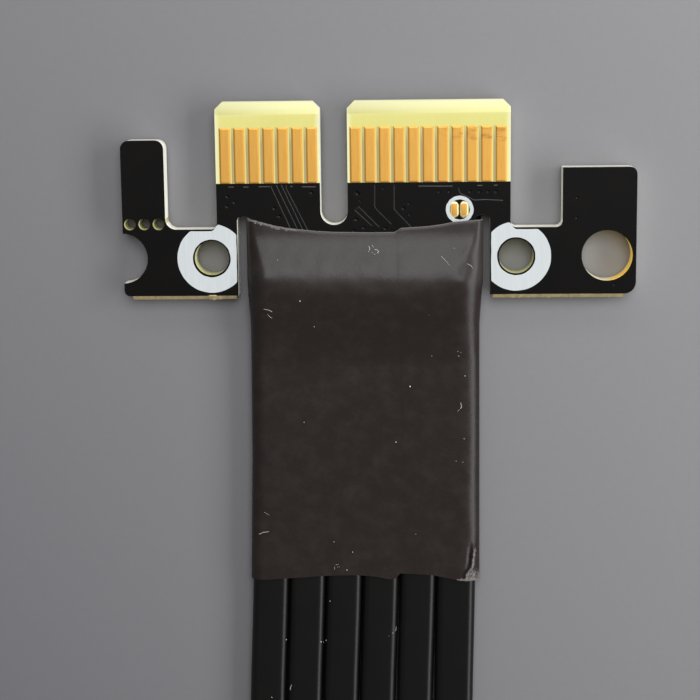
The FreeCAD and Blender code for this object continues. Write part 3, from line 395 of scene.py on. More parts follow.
def bare_glass_epoxy(new, mm):
    """FR-4 laminate without mask: pale yellow resin, its glass weave barely showing; painted paler
    towards its bevelled and routed edges as a painted highlight, and greyish brown between the
    contacts as a painted shadow beside each contact."""
    # glass yarns 0.5 mm apart, crossing
    warp, weft = (
        new("ShaderNodeTexWave", {
            "Vector": mm, "Scale": 0.63, "Distortion": 0.6, "Detail": 1.0,
        }, bands_direction=way).outputs["Fac"]
        for way in "XY"
    )
    weave = new("ShaderNodeMath", {0: warp, 1: weft}, operation="MULTIPLY")
    cloud = new("ShaderNodeTexNoise", {"Vector": mm, "Scale": 0.5, "Detail": 4.0})
    blend = new("ShaderNodeMath", {0: weave, 1: 0.12, 2: cloud}, operation="MULTIPLY_ADD")
    tone = new("ShaderNodeMix", {
        "Factor": blend, 6: "#d6d079", 7: colours().laminate,
    }, data_type="RGBA")
    place = new("ShaderNodeSeparateXYZ", {"Vector": mm}).outputs
    # painted highlight: paler near the card edge and the tabs' sides, where the bevels catch the
    # light
    ends = new("ShaderNodeMapRange", {
        "Value": place["Y"], "From Min": EDGE_Y - 1.25, "From Max": EDGE_Y - 0.1,
    }, interpolation_type="SMOOTHSTEP")
    sides = gaps = 0.0
    for left, right, first, last in TABS:
        half = (right - left) / 2
        from_middle = new("ShaderNodeMath", {
            0: place["X"], 1: EDGE_X + (left + right) / 2,
        }, operation="SUBTRACT")
        off = new("ShaderNodeMath", {0: from_middle}, operation="ABSOLUTE")
        side = new("ShaderNodeMapRange", {
            "Value": off, "From Min": half - 0.38, "From Max": half - 0.05,
        })
        here = new("ShaderNodeMath", {0: off, 1: half + 0.3}, operation="LESS_THAN")
        side = new("ShaderNodeMath", {0: side, 1: here}, operation="MULTIPLY")
        gap = new("ShaderNodeMath", {0: off, 1: (last - first) / 2 - 0.05}, operation="LESS_THAN")
        sides = new("ShaderNodeMath", {0: side, 1: sides}, operation="ADD")
        gaps = new("ShaderNodeMath", {0: gap, 1: gaps}, operation="ADD")
    pale = new("ShaderNodeMath", {0: ends, 1: sides}, operation="MAXIMUM")
    paler = new("ShaderNodeMix", {"Factor": pale, 6: tone, 7: "#e8e7b2"}, data_type="RGBA")
    # contacts 1 mm apart; painted shadow: greyish brown on the right of each gap, beside the next
    # contact's left side
    shifted = new("ShaderNodeMath", {0: place["X"], 1: 0.5 - EDGE_X}, operation="ADD")
    repeat = new("ShaderNodeMath", {0: shifted}, operation="FRACT")
    band, fall = (
        new("ShaderNodeMapRange", {
            "Value": repeat, "From Min": start, "From Max": end,
        }, interpolation_type="SMOOTHSTEP")
        for start, end in ((0.42, 0.5), (0.64, 0.57))
    )
    below = new("ShaderNodeMapRange", {
        "Value": place["Y"], "From Min": EDGE_Y - 1.7, "From Max": EDGE_Y - 2.9,
        "To Min": 0.35, "To Max": 0.95,
    })
    behind = new("ShaderNodeMath", {0: place["Y"], 1: EDGE_Y - 1.75}, operation="LESS_THAN")
    for more in (fall, gaps, below, behind):
        band = new("ShaderNodeMath", {0: band, 1: more}, operation="MULTIPLY")
    return surface(
        new, band, (paler, "#a3946c"), 0.5, (weave, 0.12, 0.02),
        IOR=1.55, Specular_IOR_Level=0.3,
    )


def routed_glass_epoxy(new, mm):
    """Cut side of the laminate: cream, with the stacked glass plies as fine level lines."""
    # plies 0.19 mm thick
    plies = new("ShaderNodeTexWave", {
        "Vector": mm, "Scale": 1.65, "Distortion": 1.2, "Detail": 2.0,
    }, bands_direction="Z").outputs["Fac"]
    fluff = new("ShaderNodeTexNoise", {"Vector": mm, "Scale": 7.0, "Detail": 3.0})
    mixed = new("ShaderNodeMath", {0: plies, 1: fluff}, operation="MULTIPLY")
    return surface(new, mixed, ("#fffef5", "#ece8d2"), 0.75, (fluff, 0.4, 0.03))


def drilled_glass_epoxy(new, mm):
    """Drilled wall of a hole in the laminate: greenish cream, with the drill's fine rings."""
    # feed rings 0.1 mm apart
    rings = new("ShaderNodeTexWave", {
        "Vector": mm, "Scale": 3.1, "Distortion": 1.5, "Detail": 2.0,
    }, bands_direction="Z").outputs["Fac"]
    return surface(new, rings, ("#e4e2ae", "#c3c088"), 0.45, (rings, 0.3, 0.02))


def polished_post_hole(new, mm):
    """Large milled hole: cream on the side the cutter left rough, and on the outer side smooth and
    glossy, brightened amber yellow with a glow as painted light led through the laminate."""
    smear = new("ShaderNodeTexNoise", {"Vector": mm, "Scale": 1.6, "Detail": 3.0})
    amber = new("ShaderNodeMix", {"Factor": smear, 6: "#ffe066", 7: "#eebb3c"}, data_type="RGBA")
    across = new("ShaderNodeSeparateXYZ", {"Vector": mm}).outputs["X"]
    wavy = new("ShaderNodeMath", {0: smear, 1: 0.8, 2: across}, operation="MULTIPLY_ADD")
    # from 0.5 mm left of the hole's middle to 1 mm right of it; the smear adds 0.4 on the whole
    middle = EDGE_X + POST_HOLE[0] + 0.4
    outer = new("ShaderNodeMapRange", {
        "Value": wavy, "From Min": middle - 0.5, "From Max": middle + 1.0,
    }, interpolation_type="SMOOTHSTEP")
    # painted glow: the amber side emits a little light, standing in for light led through the
    # laminate
    glow = new("ShaderNodeMix", {"Factor": outer, 6: "#000000", 7: amber}, data_type="RGBA")
    return surface(
        new, outer, ("#eeebd0", amber), (outer, 0.55, 0.3),
        Emission_Color=glow, Emission_Strength=0.22,
    )


def snapped_glass_epoxy(new, mm):
    """Broken V-score: torn glass bundles, beige and matt, in short upright splinters."""
    # bundles about 0.3 mm apart
    combed = new("ShaderNodeMapping", {"Vector": mm, "Scale": (3.2, 0.8, 1.6)})
    torn = new("ShaderNodeTexNoise", {"Vector": combed, "Scale": 1.0, "Detail": 5.0})
    return surface(new, torn, ("#e3cf9b", "#a58f63"), 0.9, (torn, 0.8, 0.08))


def hard_gold_plate(new, mm):
    """Hard gold over nickel on copper: warm, softly brushed along the contact, with reddish rub
    marks across the top where a socket's springs have wiped it."""
    # brushing marks 0.06 mm apart along Y, and rub marks 0.25 mm apart across
    brush, marks = (
        new("ShaderNodeTexNoise", {
            "Vector": new("ShaderNodeMapping", {"Vector": mm, "Scale": scale}),
            "Scale": 1.0, "Detail": detail,
        })
        for scale, detail in (((16.0, 0.7, 1.0), 2.0), ((1.2, 4.5, 1.0), 4.0))
    )
    place = new("ShaderNodeSeparateXYZ", {"Vector": mm}).outputs
    # the marks lie on the right half of the long tab, nearer the card edge
    right = new("ShaderNodeMapRange", {"Value": place["X"], "From Min": 3.6, "From Max": 6.8})
    upper = new("ShaderNodeMapRange", {"Value": place["Y"], "From Min": 13.9, "From Max": 14.4})
    sharp = new("ShaderNodeMapRange", {
        "Value": marks, "From Min": 0.46, "From Max": 0.66, "To Max": 0.75,
    })
    where = new("ShaderNodeMath", {0: right, 1: upper}, operation="MULTIPLY")
    rubbed = new("ShaderNodeMath", {0: where, 1: sharp}, operation="MULTIPLY")
    warm = new("ShaderNodeMix", {
        "Factor": brush, 6: colours().gold, 7: "#d09949",
    }, data_type="RGBA")
    return surface(
        new, rubbed, (warm, "#a9743c"), (brush, 0.42, 0.56), (brush, 0.2, 0.01),
        Metallic=0.85,
    )


def burnished_gold_edge(new, mm):
    """Plated shoulder of a contact: a painted highlight, brighter and yellower than the brushed
    top, where its slope faces the light.
    """
    worn = new("ShaderNodeTexNoise", {"Vector": mm, "Scale": 2.5, "Detail": 3.0})
    return surface(new, worn, ("#fff0c4", "#f6d588"), (worn, 0.26, 0.36), Metallic=0.6)


def screen_printed_epoxy(new, mm):
    """White epoxy screen print: bluish white, thin, with faint streaks from the squeegee."""
    # streaks 0.15 mm apart, along Y
    pulled = new("ShaderNodeMapping", {"Vector": mm, "Scale": (6.5, 0.5, 1.0)})
    streak = new("ShaderNodeTexNoise", {"Vector": pulled, "Scale": 1.0, "Detail": 3.0})
    threads = new("ShaderNodeTexNoise", {"Vector": mm, "Scale": 10.0, "Detail": 2.0})
    return surface(new, streak, (colours().screen_print, "#bfc6c9"), 0.62, (threads, 0.25, 0.02))


def polyolefin_tube(new, mm):
    """Shrunk polyolefin tube: brownish black and satin, with a cloudy, slightly rubbed surface,
    greyer over the board and its joints as a painted sheen and darker on the left as painted
    shade, and whitened where it is pinched, partly as a painted highlight along the ridge."""
    drawn, torn = (
        new("ShaderNodeAttribute", attribute_name=name).outputs["Fac"]
        for name in ("drawn", "torn")
    )
    cloud = new("ShaderNodeTexNoise", {"Vector": mm, "Scale": 0.3, "Detail": 5.0})
    # painted sheen: the drawn share lightens the top over the board and its joints, less on the
    # left, which is painted darker as shade
    uneven = new("ShaderNodeMath", {0: cloud, 1: 0.7, 2: drawn}, operation="MULTIPLY_ADD")
    share = new("ShaderNodeMapRange", {
        "Value": uneven, "From Min": 0.4, "From Max": 1.15,
    }, interpolation_type="SMOOTHSTEP")
    tight = new("ShaderNodeMix", {
        "Factor": share, 6: colours().tube, 7: "#34302e",
    }, data_type="RGBA")
    # rubbed patches a few millimetres across
    rub = new("ShaderNodeTexNoise", {"Vector": mm, "Scale": 0.8, "Detail": 6.0, "Roughness": 0.65})
    rubbed = new("ShaderNodeMapRange", {
        "Value": rub, "From Min": 0.45, "From Max": 0.75, "To Max": 0.12,
    })
    cloudy = new("ShaderNodeMix", {"Factor": rubbed, 6: tight, 7: "#4d4845"}, data_type="RGBA")
    grain = new("ShaderNodeTexNoise", {"Vector": mm, "Scale": 5.0, "Detail": 4.0})
    # stress-whitened and frayed where the wall is pinched; paler along the pinched ridge's right
    # flank, partly as a painted highlight
    broken = new("ShaderNodeMath", {0: grain, 1: 1.5, 2: torn}, operation="MULTIPLY_ADD")
    whitened = new("ShaderNodeMapRange", {
        "Value": broken, "From Min": 1.1, "From Max": 1.65, "To Max": 0.85,
    })
    rough = new("ShaderNodeMapRange", {
        "Value": rub, "From Min": 0.3, "From Max": 0.7, "To Min": 0.3, "To Max": 0.36,
    })
    high = new("ShaderNodeMath", {0: rub, 1: 4.0, 2: grain}, operation="MULTIPLY_ADD")
    return surface(
        new, whitened, (cloudy, "#85807c"), rough, (high, 0.18, 0.03),
        IOR=1.5, Specular_IOR_Level=0.24,
    )


def cut_tube_edge(new, mm):
    """Cut and torn edge of the shrunk tube: dry, frayed and pale grey."""
    frayed = new("ShaderNodeTexNoise", {"Vector": mm, "Scale": 6.0, "Detail": 5.0})
    return surface(new, frayed, ("#45403e", "#7a7471"), 0.6, (frayed, 0.6, 0.05))


def cotton_dust(new, mm):
    """Dust and lint: dry, pale grey crumbs and hair-thin fibres."""
    tint = new("ShaderNodeTexNoise", {"Vector": mm, "Scale": 2.0, "Detail": 2.0})
    return surface(new, tint, ("#fbfaf6", "#a8a39b"), 0.95)


def extruded_jacket(new, mm):
    """Extruded black jacket: smooth, its gloss changing slowly along the cable, with grime."""
    # the attribute is in metres, so the gloss changes over about 25 mm
    lay = new("ShaderNodeAttribute", attribute_name="lay").outputs["Vector"]
    drawn = new("ShaderNodeMapping", {"Vector": lay, "Scale": (40.0, 25.0, 1.0)})
    lines = new("ShaderNodeTexNoise", {"Vector": drawn, "Scale": 1.0, "Detail": 2.0})
    grime = new("ShaderNodeTexNoise", {"Vector": mm, "Scale": 0.5, "Detail": 5.0})
    return surface(
        new, grime, (colours().jacket, "#0e0d0c"), (lines, 0.3, 0.4), (lines, 0.25, 0.02),
        IOR=1.5, Specular_IOR_Level=0.26,
    )


def moulded_nylon(new, mm):
    """Glass-filled nylon housing, moulded: deep black, low satin, with faint flow marks."""
    flow = new("ShaderNodeMapping", {"Vector": mm, "Scale": (0.25, 1.0, 1.4)})
    marks = new("ShaderNodeTexNoise", {"Vector": flow, "Scale": 1.0, "Detail": 4.0})
    grain = new("ShaderNodeTexNoise", {"Vector": mm, "Scale": 6.0, "Detail": 3.0})
    return surface(
        new, marks, (colours().plastic, "#1d1c1b"), (marks, 0.38, 0.55), (grain, 0.3, 0.03),
        IOR=1.53, Specular_IOR_Level=0.35,
    )


def gold_flashed_bronze(new, mm):
    """Phosphor bronze springs with a gold flash: rolled strip, bright with fine rolling lines."""
    rolled = new("ShaderNodeMapping", {"Vector": mm, "Scale": (12.0, 1.0, 1.0)})
    lines = new("ShaderNodeTexNoise", {"Vector": rolled, "Scale": 1.0, "Detail": 2.0})
    return surface(new, lines, ("#e2b768", "#cf9f55"), (lines, 0.25, 0.4), Metallic=1.0)


def tinned_copper(new, mm):
    """Tin-lead coated copper and solder: silvery, slightly frosted."""
    frost = new("ShaderNodeTexNoise", {"Vector": mm, "Scale": 4.0, "Detail": 4.0})
    return surface(
        new, frost, ("#d2d3d0", "#a9aaa6"), (frost, 0.25, 0.45), (frost, 0.3, 0.03), Metallic=1.0,
    )


def wrapped_foil(new, mm):
    """Aluminium foil wound round the cores: bright, with the edges of its slanting turns."""
    # one turn each 1.2 mm
    slant = new("ShaderNodeMapping", {"Vector": mm, "Rotation": (0.0, 0.0, 0.6)})
    turns = new("ShaderNodeTexWave", {
        "Vector": slant, "Scale": 0.26, "Distortion": 0.8,
    }, bands_direction="Y", wave_profile="SAW").outputs["Fac"]
    crease = new("ShaderNodeTexNoise", {"Vector": mm, "Scale": 3.0, "Detail": 4.0})
    high = new("ShaderNodeMath", {0: turns, 1: crease}, operation="ADD")
    return surface(new, turns, ("#c9cbce", "#dfe0e2"), 0.35, (high, 0.5, 0.04), Metallic=1.0)


def matt_paper(new, mm):
    """Seamless studio paper: matt grey with a faint tooth, and a painted pool of light: lighter
    towards one corner.
    """
    tooth = new("ShaderNodeTexNoise", {"Vector": mm, "Scale": 2.0, "Detail": 5.0})
    shade = new("ShaderNodeMapRange", {"Value": tooth, "To Min": 0.97, "To Max": 1.03})
    # painted light: the paper grows lighter towards +X and +Y, where the lamps stand
    slope = new("ShaderNodeVectorMath", {0: mm, 1: (0.78, 0.63, 0.0)}, operation="DOT_PRODUCT")
    light = new("ShaderNodeMapRange", {
        "Value": slope.outputs["Value"], "From Min": -42.0, "From Max": 42.0,
    })
    wash = new("ShaderNodeMix", {
        "Factor": light, 6: "#6e6d71", 7: colours().floor,
    }, data_type="RGBA")
    return {
        "Base Color": new("ShaderNodeMix", {
            "Factor": 1.0, 6: wash, 7: shade,
        }, data_type="RGBA", blend_type="MULTIPLY"),
        "Roughness": 0.95,
        "Specular IOR Level": 0.1,
    }


# ---- Meshes ---------------------------------------------------------------------------------


def show(name, data):
    """A new object at the origin that shows a mesh or curve."""
    made = bpy.data.objects.new(name, data)
    bpy.context.scene.collection.objects.link(made)
    return made


def hand_over(piece, slot, *nodes):
    """Gives a finished piece to the frame: its body, and hides the solids it stands for. The slot
    is not used.
    """
    piece.data.name = piece.name
    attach(piece, "root")
    if nodes:
        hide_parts(*nodes)


def settle(piece):
    """Replaces a piece's mesh by what its modifiers make of it, and removes them."""
    graph = bpy.context.evaluated_depsgraph_get()
    mesh = bpy.data.meshes.new_from_object(piece.evaluated_get(graph), depsgraph=graph)
    if piece.type == "MESH":
        piece.modifiers.clear()
        piece.data = mesh
        return piece
    name = piece.name
    bpy.data.objects.remove(piece)
    return show(name, mesh)


def soften(mesh, degrees=32.0):
    """Smooth shading, with edges that turn more than this left sharp."""
    mesh.shade_smooth()
    mesh.set_sharp_from_angle(angle=math.radians(degrees))


def flatten_planes(mesh):
    """Flat shading on the faces square to an axis, so that broken edges don't shade them."""
    for face in mesh.polygons:
        if max(abs(part) for part in face.normal) > 0.99995:
            face.use_smooth = False


def solid_copy(node):
    """A CAD node's solid as a new mesh, its triangles merged and its flat faces joined again."""
    made = bmesh.new()
    made.from_mesh(frame["nodes"][node].data)
    bmesh.ops.remove_doubles(made, verts=made.verts, dist=1e-6)
    bmesh.ops.dissolve_limit(
        made, angle_limit=math.radians(0.6), verts=made.verts, edges=made.edges,
        delimit={"NORMAL"},
    )
    return made


def finished_mesh(made):
    mesh = bpy.data.meshes.new("made")
    made.to_mesh(mesh)
    made.free()
    return mesh


def built(made, name, *finishes):
    """A new object that shows what was made, in its finishes."""
    piece = show(name, finished_mesh(made))
    for finish in finishes:
        piece.data.materials.append(use(finish))
    return piece


def rounded_edges(piece, width):
    """Breaks a solid's sharp edges, as its making does."""
    bevel = piece.modifiers.new("Broken Edges", "BEVEL")
    bevel.width = width
    bevel.segments = 2
    bevel.limit_method = "ANGLE"
    bevel.angle_limit = math.radians(35.0)
    bevel.miter_outer = "MITER_ARC"
    settle(piece)
    soften(piece.data)
    flatten_planes(piece.data)


def bridge(made, low, high):
    """Faces between two closed rows of as many vertices."""
    for i in range(len(low)):
        j = (i + 1) % len(low)
        made.faces.new((low[i], low[j], high[j], high[i]))


def lofted(rings, capped=True):
    """A skin through rings of equal counts of points."""
    made = bmesh.new()
    rows = [[made.verts.new(point) for point in ring] for ring in rings]
    for low, high in zip(rows, rows[1:]):
        bridge(made, low, high)
    if capped:
        made.faces.new(reversed(rows[0]))
        made.faces.new(rows[-1])
    bmesh.ops.recalc_face_normals(made, faces=made.faces)
    return made


def rounded_plan(width, length, radii, inset=0.0, steps=4):
    """A rectangle with its own radius at each corner, anticlockwise from the lower left."""
    points = []
    corners = ((-1, -1, 180), (1, -1, 270), (1, 1, 0), (-1, 1, 90))
    for (side, end, start), radius in zip(corners, radii):
        turn = max(radius - inset, 0.004)
        middle_x = side * (width / 2 - inset - turn)
        middle_y = end * (length / 2 - inset - turn)
        for step in range(steps + 1):
            angle = math.radians(start + 90 * step / steps)
            points.append((middle_x + turn * math.cos(angle), middle_y + turn * math.sin(angle)))
    return points


def mark(mesh, name, values):
    """Keeps a number for each of a mesh's points."""
    mesh.attributes.new(name, "FLOAT", "POINT").data.foreach_set("value", values)


def along(line, x):
    """The height of a line of points at x."""
    for (x_a, y_a), (x_b, y_b) in zip(line, line[1:]):
        if x <= x_b:
            share = max(0.0, min(1.0, (x - x_a) / (x_b - x_a)))
            return y_a + (y_b - y_a) * share
    return line[-1][1]


def smooth_step(value, start, end):
    share = max(0.0, min(1.0, (value - start) / (end - start)))
    return share * share * (3 - 2 * share)


def noise_at(x, y, z):
    return noise.noise(Vector((x, y, z)))


def ridge_at(off, reach):
    """A soft ridge of height 1, at a distance off its line."""
    return math.exp(-((off / reach) ** 2))


def tube_section(y):
    """Sides, top and the reach and drop of the upper corners, at a distance along a tube."""
    over_wires = smooth_step(-y, *TUBE_RISE)
    past_wires = smooth_step(-y, *TUBE_FALL)
    top = OVER_BOARD + (OVER_WIRES - OVER_BOARD) * over_wires
    top += (OVER_CABLES - OVER_WIRES) * past_wires
    reach = 0.62 + 0.85 * over_wires - 0.5 * past_wires
    drop = 0.6 + 0.65 * over_wires - 0.4 * past_wires
    reaches = (reach, reach * (1 + 0.45 * over_wires))
    return along(TUBE_LEFT, y), along(TUBE_RIGHT, y), top, reaches, drop


def pinch(y):
    """Place across of the ridge pinched into the tube's rear corner."""
    return 7.62 - 0.12 * smooth_step(-y, 31.6, 33.0) - 0.45 * smooth_step(-y, 32.9, 33.7)


def tube_relief(x, y, seed, folded):
    """Cables and joints felt through a tube's wall, the fold, and the unevenness of hand work."""
    over_cables = smooth_step(-y, 14.0, 17.5)
    height = 0.006 * over_cables * math.cos(2 * math.pi * (x + 0.03) / CABLE_PITCH + math.pi)
    over_wires = smooth_step(-y, 9.8, 11.2) * (1 - smooth_step(-y, 12.8, 14.8))
    height += 0.022 * over_wires * noise_at(x * 0.9, y * 0.9, seed)
    height += 0.03 * noise_at(x * 0.3, y * 0.2, seed)
    height += 0.008 * noise_at(x * 1.1, y * 0.9, seed + 4)
    if folded:
        for rise, middle_x, middle_y, reach_x, reach_y in DENTS:
            height += rise * ridge_at(x - middle_x, reach_x) * ridge_at(y - middle_y, reach_y)
        # a lengthwise fold, from 2.36 mm at the front to 2.8 mm at the rear
        fold = 2.36 + (2.8 - 2.36) * (y + 8.9) / (-33.6 + 8.9)
        height += 0.008 * smooth_step(x, fold - 0.1, fold + 0.1)
        height -= 0.008 * smooth_step(x, fold + 0.3, fold + 3.0)
        # the pinched corner at the rear
        held = smooth_step(-y, 31.2, 31.9) * (1 - 0.7 * smooth_step(-y, 33.5, 33.9))
        height += held * 0.24 * ridge_at(x - pinch(y), 0.1)
        height -= held * 0.1 * ridge_at(x - pinch(y) + 0.22, 0.11)
    return height


def plug_tube_height(x, y):
    """Top of the plug end's tube at a point."""
    left, right, top, reach, drop = tube_section(y)
    over = max(0.0, (x - right + reach[1]) / reach[1], (left + reach[0] - x) / reach[0])
    corner = drop * (1 - math.sqrt(max(0.0, 1 - over * over)))
    return top - corner + tube_relief(x, y, PLUG_TUBE_SEED, True)


# ---- Geometry node trees --------------------------------------------------------------------


def row_of_copies(new, given):
    """Copies of a pattern object in a straight row."""
    line = new("GeometryNodeMeshLine", {
        "Count": given["Count"], "Start Location": given["First"], "Offset": given["Step"],
    }, mode="OFFSET")
    pattern = new("GeometryNodeObjectInfo", {"Object": given["Pattern"]})
    turn = new("FunctionNodeEulerToRotation", {"Euler": given["Turn"]})
    return new("GeometryNodeInstanceOnPoints", {
        "Points": line, "Instance": pattern.outputs["Geometry"], "Rotation": turn,
    })


def copies_on_points(new, given):
    """Copies of a pattern object on the points of a mesh, each with the size its point gives."""
    pattern = new("GeometryNodeObjectInfo", {"Object": given["Pattern"]})
    size = new("GeometryNodeInputNamedAttribute", {"Name": "size"}, data_type="FLOAT")
    scale = new("ShaderNodeMath", {0: size, 1: given["Size"]}, operation="MULTIPLY")
    turn = new("FunctionNodeRandomValue", {
        2: 0.0, 3: 6.28318, "Seed": given["Seed"],
    }, data_type="FLOAT")
    spin = new("ShaderNodeCombineXYZ", {"Z": turn})
    return new("GeometryNodeInstanceOnPoints", {
        "Points": given["Geometry"], "Instance": pattern.outputs["Geometry"],
        "Rotation": new("FunctionNodeEulerToRotation", {"Euler": spin}), "Scale": scale,
    })


def strips_along_edges(new, given):
    """A low rounded strip along each run of edges, upright, as wide as its points say."""
    curve = new("GeometryNodeMeshToCurve", {"Mesh": given["Geometry"]})
    turned = new("GeometryNodeFilletCurve", {
        "Curve": curve, "Count": 3, "Radius": given["Corner"], "Limit Radius": True,
    }, mode="POLY")
    upright = new("GeometryNodeSetCurveNormal", {"Curve": turned}, mode="Z_UP")
    ring = new("GeometryNodeCurvePrimitiveCircle", {"Resolution": 12, "Radius": 0.5})
    width = new("GeometryNodeInputNamedAttribute", {"Name": "width"}, data_type="FLOAT")
    flat = new("ShaderNodeCombineXYZ", {"X": 1.0, "Y": STRIP_HEIGHT, "Z": 1.0})
    section = new("GeometryNodeTransform", {"Geometry": ring, "Scale": flat})
    return new("GeometryNodeCurveToMesh", {
        "Curve": upright, "Profile Curve": section, "Scale": width, "Fill Caps": True,
    })


def flat_cable(new, given):
    """A flat cable along a route: width, thickness and round sides, with its lay kept as an
    attribute: distance along the cable and place round its section."""
    upright = new("GeometryNodeSetCurveNormal", {"Curve": given["Geometry"]}, mode="Z_UP")
    box = new("GeometryNodeCurvePrimitiveQuadrilateral", {
        "Width": given["Width"], "Height": given["Thickness"],
    })
    section = new("GeometryNodeFilletCurve", {
        "Curve": box, "Count": 9, "Radius": given["Edge"], "Limit Radius": True,
    }, mode="POLY")
    kept = []
    for curve, kind, value in (
        (upright, "FLOAT", new("GeometryNodeSplineParameter").outputs["Length"]),
        (section, "VECTOR", new("GeometryNodeInputPosition").outputs["Position"]),
    ):
        keep = new("GeometryNodeCaptureAttribute", {"Geometry": curve}, domain="POINT")
        keep.capture_items.new(kind, "Kept")
        keep.id_data.links.new(value, keep.inputs[1])
        kept.append(keep)
    run, place = kept
    body = new("GeometryNodeCurveToMesh", {
        "Curve": run, "Profile Curve": place, "Fill Caps": True,
    })
    across = new("ShaderNodeSeparateXYZ", {"Vector": place.outputs[1]}).outputs
    lay = new("ShaderNodeCombineXYZ", {"X": run.outputs[1], "Y": across["X"], "Z": across["Y"]})
    return new("GeometryNodeStoreNamedAttribute", {
        "Geometry": body, "Name": "lay", "Value": lay,
    }, data_type="FLOAT_VECTOR", domain="POINT")


TREES = {
    row_of_copies: {
        "Pattern": "Object", "Count": "Int", "First": "Vector", "Step": "Vector",
        "Turn": "Vector", "Finish": "Material",
    },
    copies_on_points: {"Pattern": "Object", "Size": "Float", "Seed": "Int", "Finish": "Material"},
    strips_along_edges: {"Corner": "Float", "Finish": "Material"},
    flat_cable: {"Width": "Float", "Thickness": "Float", "Edge": "Float", "Finish": "Material"},
}


def tree_of(build):
    """The tree that a function builds, made once: named inputs, and at its end the instances made
    real and their finish set."""
    name = build.__name__.replace("_", " ").title()
    if name in bpy.data.node_groups:
        return bpy.data.node_groups[name]
    tree = bpy.data.node_groups.new(name, "GeometryNodeTree")
    tree.is_modifier = True
    tree.interface.new_socket("Geometry", in_out="OUTPUT", socket_type="NodeSocketGeometry")
    for label, kind in {"Geometry": "Geometry", **TREES[build]}.items():
        tree.interface.new_socket(label, in_out="INPUT", socket_type="NodeSocket" + kind)
    new = partial(add, tree)
    given = new("NodeGroupInput").outputs
    real = new("GeometryNodeRealizeInstances", {"Geometry": build(new, given)})
    finished = new("GeometryNodeSetMaterial", {"Geometry": real, "Material": given["Finish"]})
    new("NodeGroupOutput", {"Geometry": finished})
    return tree


def run_tree(piece, build, values):
    """Runs a tree on a piece with its inputs set by identifier, and keeps the plain result."""
    tree = tree_of(build)
    modifier = piece.modifiers.new(tree.name, "NODES")
    modifier.node_group = tree
    for entry in tree.interface.items_tree:
        if getattr(entry, "in_out", "") == "INPUT" and entry.name in values:
            modifier[entry.identifier] = values[entry.name]
    piece.update_tag()
    bpy.context.view_layer.update()
    return settle(piece)


def scattered(name, pattern, spots, size, seed, finish):
    """Copies of a pattern on spots, each a place and its size, in one piece. The pattern goes."""
    mesh = bpy.data.meshes.new(name)
    mesh.from_pydata([place for place, _ in spots], [], [])
    mark(mesh, "size", [share for _, share in spots])
    piece = run_tree(show(name, mesh), copies_on_points, {
        "Pattern": pattern, "Size": size, "Seed": seed, "Finish": use(finish),
    })
    bpy.data.objects.remove(pattern)
    return piece


def strips(name, runs, corner, finish, slot):
    """Low rounded strips along runs, each the places of its points and the widths there."""
    points, edges, widths = [], [], []
    for places, reaches in runs:
        edges += [(len(points) + i, len(points) + i + 1) for i in range(len(places) - 1)]
        points += places
        widths += [reach * MM for reach in reaches]
    mesh = bpy.data.meshes.new(name)
    mesh.from_pydata(points, edges, [])
    mark(mesh, "width", widths)
    piece = run_tree(show(name, mesh), strips_along_edges, {
        "Corner": corner, "Finish": use(finish),
    })
    soften(piece.data, 60.0)
    hand_over(piece, slot)


# ---- Camera, light and floor ----------------------------------------------------------------

LENS = 92.8
CAMERA_PLACE = (0.003531, 0.021424, 0.125955)
CAMERA_TURN = (-9.92, 2.45, -0.68)
# place, size and power of each lamp, all turned to the plug end
LAMPS = {
    "overhead_softbox": ((0.04, 0.2, 0.46), (0.3, 0.3), 1.45),
    "side_strip": ((0.34, -0.02, 0.2), (0.5, 0.16), 1.4),
    "top_strip": ((0.02, 0.34, 0.2), (0.5, 0.1), 0.3),
}
ROOM_LIGHT = 0.21
FLOOR_REACH = 1.2


class RISER_OT_stage(bpy.types.Operator):
    """Sets the camera above the plug end, the soft studio light and the paper floor"""

    bl_idname = "riser.stage"
    bl_label = "Stage"

    def execute(self, context):
        scene = context.scene
        scene.view_settings.view_transform = "Standard"
        lens = bpy.data.cameras.new("camera")
        lens.sensor_width = 36.0
        lens.lens = LENS
        lens.clip_start = 0.01
        lens.clip_end = 20.0
        camera = show("camera", lens)
        camera.location = CAMERA_PLACE
        camera.rotation_euler = Euler([math.radians(angle) for angle in CAMERA_TURN], "XYZ")
        scene.camera = camera
        for name, (place, size, power) in LAMPS.items():
            light = bpy.data.lights.new(name, "AREA")
            light.shape = "RECTANGLE"
            light.size, light.size_y = size
            light.energy = power
            lamp = show(name, light)
            lamp.location = place
            lamp.rotation_euler = (-Vector(place)).to_track_quat("-Z", "Y").to_euler()
        world = bpy.data.worlds.new("studio")
        world.use_nodes = True
        glow = world.node_tree.nodes["Background"].inputs
        glow["Color"].default_value = srgb("#ffffff")
        glow["Strength"].default_value = ROOM_LIGHT
        scene.world = world
        made = bmesh.new()
        bmesh.ops.create_grid(made, x_segments=4, y_segments=4, size=FLOOR_REACH)
        built(made, "paper_floor", matt_paper)
        return {"FINISHED"}


# ---- Boards ---------------------------------------------------------------------------------

# section of a via's dimple, as shares of its radius: reach and height
DIMPLE = (
    (1.12, 0.3), (1.0, 0.02), (0.93, -0.1), (0.8, -0.36), (0.6, -0.66), (0.36, -0.86),
    (0.12, -0.92),
)
MASKED, BARE, ROUTED, SNAPPED, DRILLED, POST = range(6)
BOARD_FINISHES = (
    solder_mask_ink, bare_glass_epoxy, routed_glass_epoxy, snapped_glass_epoxy,
    drilled_glass_epoxy, polished_post_hole,
)


